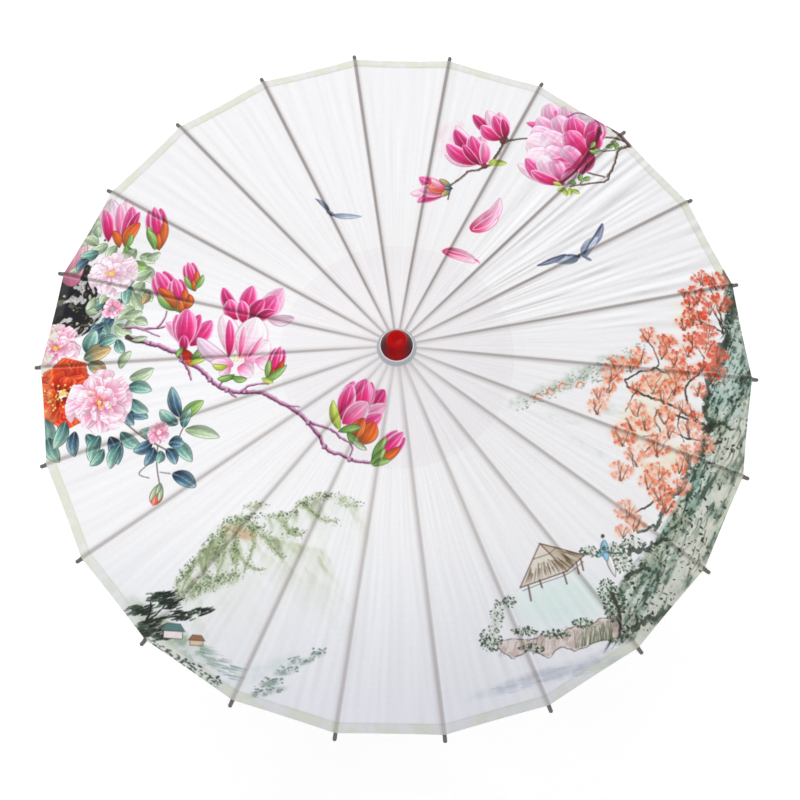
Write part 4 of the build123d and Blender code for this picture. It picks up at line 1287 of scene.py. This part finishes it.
class Nodes:
    """Short calls for building a material's nodes."""

    def __init__(self, name):
        self.material = bpy.data.materials.new(name)
        self.material.use_nodes = True
        self.tree = self.material.node_tree
        self.shader = self.tree.nodes["Principled BSDF"]
        self.output = self.tree.nodes["Material Output"]

    def add(self, kind, **settings):
        node = self.tree.nodes.new(kind)
        for key, value in settings.items():
            if key in node.inputs:
                node.inputs[key].default_value = value
            else:
                setattr(node, key, value)
        return node

    def link(self, source, target):
        self.tree.links.new(source, target)

    def set(self, **values):
        for key, value in values.items():
            self.shader.inputs[key.replace("_", " ")].default_value = value

    def base(self, color):
        self.link(color, self.shader.inputs["Base Color"])

    def place(self, scale=(1, 1, 1)):
        """The row frame's own coordinates, stretched."""
        coordinates = self.add("ShaderNodeTexCoord")
        mapping = self.add("ShaderNodeMapping", Scale=scale)
        self.link(coordinates.outputs["Object"], mapping.inputs["Vector"])
        return mapping.outputs["Vector"]

    def speckle(self, place, scale, detail=4.0, roughness=0.6):
        texture = self.add("ShaderNodeTexNoise", Scale=scale, Detail=detail, Roughness=roughness)
        self.link(place, texture.inputs["Vector"])
        return texture.outputs["Fac"]

    def colors(self, factor, stops):
        node = self.add("ShaderNodeValToRGB")
        for element, (position, color) in zip(node.color_ramp.elements, (stops[0], stops[-1])):
            element.position, element.color = position, rgba(color)
        for position, color in stops[1:-1]:
            node.color_ramp.elements.new(position).color = rgba(color)
        self.link(factor, node.inputs["Fac"])
        return node.outputs["Color"]

    def math(self, operation, first, second=0.0):
        node = self.add("ShaderNodeMath", operation=operation)
        for socket, value in zip(node.inputs, (first, second)):
            if isinstance(value, (int, float)):
                socket.default_value = value
            else:
                self.link(value, socket)
        return node.outputs[0]

    def mix(self, factor, first, second, blend="MIX"):
        node = self.add("ShaderNodeMix", data_type="RGBA", blend_type=blend)
        for socket, value in zip((node.inputs[0], node.inputs[6], node.inputs[7]), (factor, first, second)):
            if isinstance(value, (int, float)):
                socket.default_value = value
            elif isinstance(value, tuple):
                socket.default_value = rgba(value)
            else:
                self.link(value, socket)
        return node.outputs[2]

    def bump(self, height, distance, strength=1.0):
        node = self.add("ShaderNodeBump", Strength=strength, Distance=distance)
        self.link(height, node.inputs["Height"])
        self.link(node.outputs["Normal"], self.shader.inputs["Normal"])

    def axes(self):
        """The row frame's x, y and z."""
        split = self.add("ShaderNodeSeparateXYZ")
        self.link(self.place(), split.inputs[0])
        return split.outputs

    def radial_place(self, along_scale, across_scale, up_scale):
        """Coordinates that run out from the shaft, round it, and up."""
        x, y, z = self.axes()
        radius = self.math("SQRT", self.math("ADD", self.math("POWER", x, 2.0), self.math("POWER", y, 2.0)))
        angle = self.math("ARCTAN2", y, x)
        join = self.add("ShaderNodeCombineXYZ")
        self.link(self.math("MULTIPLY", radius, along_scale), join.inputs[0])
        self.link(self.math("MULTIPLY", angle, across_scale), join.inputs[1])
        self.link(self.math("MULTIPLY", z, up_scale), join.inputs[2])
        return join.outputs[0], radius

    def translucent(self, color, share):
        """Lets light through the cloth, for a share of what falls on it."""
        through = self.add("ShaderNodeBsdfTranslucent")
        blend = self.add("ShaderNodeMixShader")
        blend.inputs[0].default_value = share
        if isinstance(color, tuple):
            through.inputs["Color"].default_value = rgba(color)
        else:
            self.link(color, through.inputs["Color"])
        self.link(self.shader.outputs[0], blend.inputs[1])
        self.link(through.outputs[0], blend.inputs[2])
        self.link(blend.outputs[0], self.output.inputs["Surface"])


def weave_height(nodes, threads_per_metre):
    """Crossed threads of a fine plain weave."""
    height = None
    for direction in ("X", "Y"):
        wave = nodes.add("ShaderNodeTexWave", bands_direction=direction, Scale=threads_per_metre / 20)
        wave.inputs["Distortion"].default_value = 0.6
        wave.inputs["Detail"].default_value = 1.0
        nodes.link(nodes.place(), wave.inputs["Vector"])
        height = wave.outputs["Fac"] if height is None else nodes.math("ADD", height, wave.outputs["Fac"])
    return height


def printed_cloth(name):
    """Thin satin cloth in the colours painted on its vertices."""
    nodes = Nodes(name)
    # The vertex colours hold the print together with its painted light and shade
    paint = nodes.add("ShaderNodeVertexColor", layer_name="print")
    slub = nodes.speckle(nodes.place((1, 1, 0.2)), 900, 3.0)
    tone = nodes.colors(slub, [(0.3, (0.965, 0.965, 0.965)), (0.7, (1, 1, 1))])
    color = nodes.mix(1.0, paint.outputs["Color"], tone, "MULTIPLY")
    nodes.base(color)
    nodes.set(Roughness=0.62, Specular_IOR_Level=0.28, Sheen_Weight=0.12, Sheen_Roughness=0.45)
    nodes.bump(weave_height(nodes, 2600), 0.00008, 0.6)
    nodes.translucent(color, 0.1)
    return nodes.material


def plain_cloth(name, color, low):
    """Plain woven cloth between two tones."""
    nodes = Nodes(name)
    slub = nodes.speckle(nodes.place(), 420, 4.0)
    shade = nodes.colors(slub, [(0.3, low), (0.7, color)])
    nodes.base(shade)
    nodes.set(Roughness=0.75, Specular_IOR_Level=0.2, Sheen_Weight=0.1)
    nodes.bump(weave_height(nodes, 2200), 0.0001, 0.7)
    nodes.translucent(shade, 0.45)
    return nodes.material


def bamboo(name, light, dark, tip=None):
    """Split bamboo: fibres along the rib, darker joints, and dark dipped tips."""
    nodes = Nodes(name)
    place, radius = nodes.radial_place(14, 420, 900)
    fibre = nodes.speckle(place, 1.0, 6.0, 0.65)
    color = nodes.colors(fibre, [(0.3, dark), (0.55, light), (0.75, tuple(min(1, c * 1.1) for c in light))])
    # A joint of the bamboo every 155 mm, as a thin dark band
    joint = nodes.math("PINGPONG", nodes.math("ADD", radius, 0.043), 0.0775)
    band = nodes.colors(joint, [(0.0, (0.52, 0.40, 0.25)), (0.0022, (1, 1, 1)), (1.0, (1, 1, 1))])
    color = nodes.mix(1.0, color, band, "MULTIPLY")
    if tip:
        past = nodes.math("GREATER_THAN", radius, tip_start)
        color = nodes.mix(past, color, tip)
    nodes.base(color)
    nodes.set(Roughness=0.42, Specular_IOR_Level=0.45, Coat_Weight=0.15, Coat_Roughness=0.3)
    nodes.bump(fibre, 0.00015, 0.5)
    return nodes.material


def turned_wood(name, light, dark, roughness):
    """Turned wood with its grain along the shaft."""
    nodes = Nodes(name)
    grain = nodes.speckle(nodes.place((260, 260, 9)), 1.0, 6.0, 0.6)
    color = nodes.colors(grain, [(0.3, dark), (0.6, light), (0.8, tuple(min(1, c * 1.12) for c in light))])
    nodes.base(color)
    nodes.set(Roughness=roughness, Specular_IOR_Level=0.5, Coat_Weight=0.25, Coat_Roughness=0.2)
    nodes.bump(grain, 0.0001, 0.5)
    return nodes.material


def lacquer(name, color, deep):
    """Glossy lacquer that pools a little darker."""
    nodes = Nodes(name)
    pooled = nodes.speckle(nodes.place(), 60, 3.0)
    shade = nodes.colors(pooled, [(0.35, deep), (0.65, color)])
    nodes.base(shade)
    nodes.set(Roughness=0.35, Specular_IOR_Level=0.3, Coat_Weight=0.3, Coat_Roughness=0.12, Coat_IOR=1.4)
    ripple = nodes.speckle(nodes.place(), 220, 2.0)
    nodes.bump(ripple, 0.0001, 0.25)
    return nodes.material


def finial_lacquer():
    """Red lacquer with painted light and shade: a brighter red on top, deep red on the side, and painted
    shade darkest at ±X where the side turns away.
    """
    nodes = Nodes("finial_lacquer")
    x, _, z = nodes.axes()
    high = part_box("finial")[1]
    # Painted light: above the shoulder the top is a brighter red
    shoulder = high.z - 1.6 * MM
    top = nodes.math("GREATER_THAN", z, shoulder)
    # Painted shade that deepens towards ±X, where the side turns away from view
    sides = nodes.math("DIVIDE", nodes.math("ABSOLUTE", x), high.x)
    pooled = nodes.math("MULTIPLY", nodes.speckle(nodes.place(), 260, 3.0), 0.25)
    shade = nodes.colors(
        nodes.math("ADD", sides, pooled),
        [
            (0.1, (0.62, 0.0, 0.01)), (0.6, (0.56, 0.0, 0.02)), (0.9, (0.32, 0.0, 0.05)),
            (1.0, (0.22, 0.0, 0.06))
        ],
    )
    shade = nodes.mix(top, shade, (0.68, 0.0, 0.01))
    nodes.base(shade)
    nodes.set(Roughness=0.35, Specular_IOR_Level=0.08, Coat_Weight=0.03, Coat_Roughness=0.1, Coat_IOR=1.4)
    nodes.bump(nodes.speckle(nodes.place(), 220, 2.0), 0.0001, 0.2)
    return nodes.material


def moulded_white():
    """White at the lip that holds the finial; the wall below is painted grey as shade."""
    nodes = Nodes("collar_white")
    # Only the lip keeps the white; the grey of the wall below is painted shade
    lip = nodes.math("GREATER_THAN", nodes.axes()[2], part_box("collar")[1].z - 0.9 * MM)
    grit = nodes.speckle(nodes.place(), 1500, 3.0)
    shade = nodes.colors(grit, [(0.3, (0.64, 0.65, 0.67)), (0.7, (0.74, 0.75, 0.77))])
    shade = nodes.mix(lip, shade, (0.97, 0.97, 0.98))
    nodes.base(shade)
    nodes.set(Roughness=0.38, Specular_IOR_Level=0.4, Coat_Weight=0.2, Coat_Roughness=0.15)
    nodes.bump(grit, 0.00012, 0.5)
    return nodes.material


def drawn_wire():
    """Steel wire with fine drawing marks."""
    nodes = Nodes("steel_wire")
    streak = nodes.speckle(nodes.place((300, 300, 1200)), 1.0, 3.0)
    shade = nodes.colors(streak, [(0.3, (0.50, 0.50, 0.50)), (0.7, (0.74, 0.74, 0.73))])
    nodes.base(shade)
    nodes.set(Metallic=1.0, Roughness=0.32)
    return nodes.material


def backdrop():
    """The pale floor, a little lit from itself so that it stays near white."""
    nodes = Nodes("pale_floor")
    shade = nodes.colors(
        nodes.speckle(nodes.place(), 3.0, 2.0), [(0.3, (0.985, 0.985, 0.985)), (0.7, (1, 1, 1))]
    )
    nodes.base(shade)
    nodes.set(Roughness=0.9, Specular_IOR_Level=0.1, Emission_Strength=0.22)
    nodes.shader.inputs["Emission Color"].default_value = (1, 1, 1, 1)
    return nodes.material


# ---------------------------------------------------------------- pieces
def cloth_points(plan, index, lift=0.0):
    """Places plan points on the draped canopy of one rib, in the row frame."""
    place = turned_to_rib(plan, index)
    relief = cloth_relief(place[:, 0] / MM, place[:, 1] / MM) * MM
    height = apex_z - cloth_drop(plan[:, 0], plan[:, 1]) + relief + lift
    return np.column_stack([place, height])


def painted(piece, colors):
    """Stores screen colours, one to a vertex, as the piece's print with its painted light and shade."""
    layer = piece.data.color_attributes.new("print", "FLOAT_COLOR", "POINT")
    layer.data.foreach_set("color", np.column_stack([linear(colors), np.ones(len(colors))]).ravel())


def ribbon_grid():
    """One gore's length of hem, folded over the rim: plan points, lifts and faces."""
    columns = 96
    across_share = np.linspace(-1, 1, columns + 1)
    width = ribbon_width / math.cos(slope)
    # Section from the inner edge on top, round the rim, to the inner edge below
    section = [(width * (1 - step / 10), 0.95) for step in range(10)]
    section[0] = (width, 0.55)
    section += [(0.3 * MM, 0.95), (-0.25 * MM, 0.5), (-0.35 * MM, 0.0), (-0.25 * MM, -0.5)]
    section += [(0.6 * MM, -1.0), (width * 0.5, -1.05), (width, -1.0), (width, -0.6)]
    plan, lifts, faces = [], [], []
    for inset, lift in section:
        distance = rim_radius * math.cos(half_sector) - inset
        across = across_share * distance * math.sin(half_sector)
        along = (distance - np.abs(across) * math.sin(half_sector)) / math.cos(half_sector)
        plan.append(np.column_stack([along, across]))
        lifts.append(np.full(columns + 1, lift * ribbon_lift))
    for row in range(len(section) - 1):
        for cell in range(columns):
            a = row * (columns + 1) + cell
            b = a + columns + 1
            faces.append([b, b + 1, a + 1, a])
    return scooped(np.concatenate(plan)), np.concatenate(lifts), faces


def make_cloth(cloth, ribbon_cloth):
    """The canopy and its folded hem, a panel to each rib, all in one painting."""
    plan, faces = panel_grid(hole_radius, rim_radius)
    shaped = scooped(plan)
    hem_plan, hem_lifts, hem_faces = ribbon_grid()
    both = np.concatenate([shaped, hem_plan])
    flat = np.concatenate([turned_to_rib(both, index) for index in range(rib_count)]) / MM
    colors = paint_canopy(flat[:, 0], flat[:, 1]).reshape(rib_count, len(both), 3)
    for index in range(rib_count):
        panel = new_mesh_object(f"canopy_panel_{index + 1:02d}", cloth_points(shaped, index), faces)
        painted(panel, colors[index][: len(shaped)])
        panel.data.materials.append(cloth)
        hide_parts("canopy")
        tie_to_rib(panel, index)
        hem = new_mesh_object(
            f"edge_ribbon_{index + 1:02d}", cloth_points(hem_plan, index, hem_lifts), hem_faces
        )
        painted(hem, colors[index][len(shaped) :])
        hem.data.materials.append(ribbon_cloth)
        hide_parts("edge_ribbon")
        tie_to_rib(hem, index)


def make_lining(material):
    """Round crown lining under the canopy: one sector to each rib."""
    drop = 0.45 * MM
    for index in range(rib_count):
        plan, faces = panel_grid(hole_radius, lining_radius)
        # The cut is round: points beyond the circle are drawn in to it
        radius = np.hypot(plan[:, 0], plan[:, 1])
        outer = lining_radius * math.cos(half_sector)
        share = (radius - hole_radius) / (radius.max() - hole_radius)
        plan = plan * ((hole_radius + share * (outer - hole_radius)) / radius)[:, None]
        lining = new_mesh_object(f"crown_lining_{index + 1:02d}", cloth_points(plan, index, -drop), faces)
        lining.data.materials.append(material)
        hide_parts("crown_lining")
        tie_to_rib(lining, index)


def turned_piece(name, profile):
    """A closed body turned about the shaft from (radius, height) points in mm."""
    points, faces, rings = [], [], []
    for radius, height in profile:
        first = len(points)
        if radius < 1e-6:
            points.append((0, 0, height * MM))
            rings.append([first] * turned_sides)
            continue
        for step in range(turned_sides):
            angle = 2 * math.pi * step / turned_sides
            points.append((radius * MM * math.cos(angle), radius * MM * math.sin(angle), height * MM))
        rings.append(list(range(first, first + turned_sides)))
    for low, high in zip(rings, rings[1:]):
        for step in range(turned_sides):
            after = (step + 1) % turned_sides
            corners = [low[step], low[after], high[after], high[step]]
            faces.append(list(dict.fromkeys(corners)))
    return new_mesh_object(name, points, [face for face in faces if len(face) > 2])


def arc(center_radius, center_height, radius, start, end, steps=8):
    """Points along a round stretch of a profile, angles in degrees from outwards to up."""
    angles = [math.radians(start + (end - start) * step / steps) for step in range(steps + 1)]
    return [(center_radius + radius * math.cos(a), center_height + radius * math.sin(a)) for a in angles]


def size_in_mm(node):
    """Foot, top and outer radius of a round CAD node."""
    low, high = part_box(node)
    return low.z / MM, high.z / MM, high.x / MM


def replace_turned(node, profile, material):
    """Puts a finer turned body in the place of a CAD node."""
    piece = turned_piece(f"{node}_turned", profile)
    piece.data.materials.append(material)
    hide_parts(node)
    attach(piece, "root")


def make_finial(material):
    foot, top, wide = size_in_mm("finial")
    narrow = wide * 0.6
    profile = [(0, foot), (wide - 1.2, foot)]
    profile += arc(wide - 1.2, foot + 1.2, 1.2, -90, 20)
    # The side swells slightly between foot and top
    for step in range(1, 9):
        share = step / 9
        swell = 0.55 * math.sin(math.pi * share)
        side = (wide - 0.1) + (narrow + 0.35 - wide) * share + swell
        profile.append((side, foot + 1.6 + (top - foot - 3.4) * share))
    profile += arc(narrow - 1.5, top - 1.5, 1.5, 15, 90)
    profile += [(narrow - 3.2, top - 0.05), (3.0, top - 0.15), (1.6, top - 0.9), (0, top - 1.2)]
    replace_turned("finial", profile, material)


def make_collar(material):
    foot, top, wide = size_in_mm("collar")
    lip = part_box("finial")[1].x / MM + 1.0
    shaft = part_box("shaft")[1].x / MM
    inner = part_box("head")[1].x / MM + 0.6
    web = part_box("head")[1].z / MM
    profile = [(shaft, web), (inner - 0.6, web), (inner, foot + 0.75), (wide - 1.6, foot + 0.1)]
    profile += arc(wide - 1.5, foot + 0.7, 0.6, -80, 40, 5)
    profile += [(wide - 2.2, foot + 2.6), (lip + 0.1, top - 2.0), (lip, top - 1.0)]
    profile += arc(lip - 0.6, top - 0.6, 0.6, 0, 90, 6)
    profile += [(lip - 1.1, top), (lip - 1.4, top - 0.2), (shaft, top - 0.2), (shaft, web)]
    replace_turned("collar", profile, material)


def make_handle(wood):
    foot, top, wide = size_in_mm("handle")
    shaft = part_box("shaft")[1].x / MM
    profile = [(shaft, foot), (wide, foot)]
    for groove in (12.0, 15.0, 84.0, 87.0):
        center = foot + groove
        profile += [
            (wide, center - 0.7), (wide - 0.5, center - 0.25), (wide - 0.5, center + 0.25),
            (wide, center + 0.7)
        ]
    profile += [(wide, top - 12)]
    for step in range(1, 9):
        share = step / 8
        profile.append((wide - 3.0 * (1 - math.cos(math.pi * share)) / 2, top - 12 + 10.5 * share))
    profile += arc(wide - 4.2, top - 1.2, 1.2, 0, 90, 5)
    profile += [(shaft, top)]
    replace_turned("handle", profile, wood)


def make_handle_cap(material):
    foot, top, wide = size_in_mm("handle_cap")
    profile = [(0, foot), (wide - 3.0, foot)] + arc(wide - 3.0, foot + 3.0, 3.0, -90, 0)
    profile += [(wide, top - 0.5), (wide - 0.4, top), (0, top)]
    replace_turned("handle_cap", profile, material)


def dress(nodes, material):
    """Gives CAD nodes a better material."""
    for node in nodes:
        mesh = frame["nodes"][node].data
        mesh.materials.clear()
        mesh.materials.append(material)


# ---------------------------------------------------------------- floor, lights and camera
def make_floor(material):
    """A wide round floor under the handle's end."""
    far, count = 40.0, 96
    angles = [2 * math.pi * step / count for step in range(count)]
    rim = [(far * math.cos(angle), far * math.sin(angle), 0) for angle in angles]
    floor = new_mesh_object("floor", rim, [list(range(count))], smooth=False)
    floor.data.materials.append(material)


def soft_light(name, place, size, watts, color):
    """A round area light that faces the canopy."""
    light = bpy.data.lights.new(name, "AREA")
    light.shape = "DISK"
    light.size, light.energy, light.color = size, watts, color
    lamp = bpy.data.objects.new(name, light)
    bpy.context.scene.collection.objects.link(lamp)
    lamp.location = place
    lamp.rotation_euler = (Vector((0, 0, 0.45)) - Vector(place)).to_track_quat("-Z", "Y").to_euler()


def make_lights():
    world = bpy.data.worlds.new("studio")
    world.use_nodes = True
    sky = world.node_tree.nodes["Background"].inputs
    sky["Color"].default_value = (0.97, 0.98, 1.0, 1)
    sky["Strength"].default_value = 0.80
    bpy.context.scene.world = world
    soft_light("key", (-0.5, 1.3, 2.3), 1.2, 13, (1.0, 0.99, 0.97))
    soft_light("fill", (0.8, -1.2, 2.2), 2.0, 3, (0.97, 0.98, 1.0))


def make_camera():
    """Looks down along +Y on the open canopy."""
    elevation, roll = math.radians(73.2), math.radians(0.97)
    distance = 1.544
    target = Vector((0.0046, -0.0465, 0.5))
    back = Vector((0, -math.cos(elevation), math.sin(elevation)))
    side = Vector((1, 0, 0))
    up = back.cross(side)
    right = math.cos(roll) * side + math.sin(roll) * up
    camera = bpy.data.cameras.new("camera")
    camera.lens, camera.sensor_width = 63.0, 36.0
    camera.clip_start, camera.clip_end = 0.01, 50
    viewer = bpy.data.objects.new("camera", camera)
    bpy.context.scene.collection.objects.link(viewer)
    turn = Matrix((right, back.cross(right), back)).transposed().to_4x4()
    viewer.matrix_world = Matrix.Translation(target + back * distance) @ turn
    bpy.context.scene.camera = viewer


make_camera()
make_lights()
bpy.context.scene.view_settings.view_transform = "Standard"
make_floor(backdrop())

make_cloth(printed_cloth("printed_cloth"), printed_cloth("edge_ribbon"))
make_lining(plain_cloth("lining_cloth", (0.97, 0.96, 0.96), (0.93, 0.92, 0.92)))

make_finial(finial_lacquer())
make_collar(moulded_white())
handle_lacquer = lacquer("handle_lacquer", (0.42, 0.06, 0.05), (0.28, 0.03, 0.03))
make_handle(handle_lacquer)
make_handle_cap(handle_lacquer)
dress(rib_names, bamboo("rib_bamboo", (0.87, 0.76, 0.56), (0.72, 0.58, 0.38), tip=(0.40, 0.38, 0.36)))
dress(strut_names, bamboo("strut_bamboo", (0.84, 0.72, 0.50), (0.68, 0.53, 0.33)))
dress(["shaft"], turned_wood("shaft_wood", (0.66, 0.45, 0.26), (0.46, 0.28, 0.14), 0.35))
dress(["head", "runner"], turned_wood("notch_wood", (0.80, 0.64, 0.43), (0.64, 0.47, 0.28), 0.45))
dress(["spring_catch", "stop_peg"], turned_wood("catch_bamboo", (0.78, 0.64, 0.42), (0.62, 0.47, 0.28), 0.45))
dress(["head_ring", "runner_ring", "catch_pin"], drawn_wire())
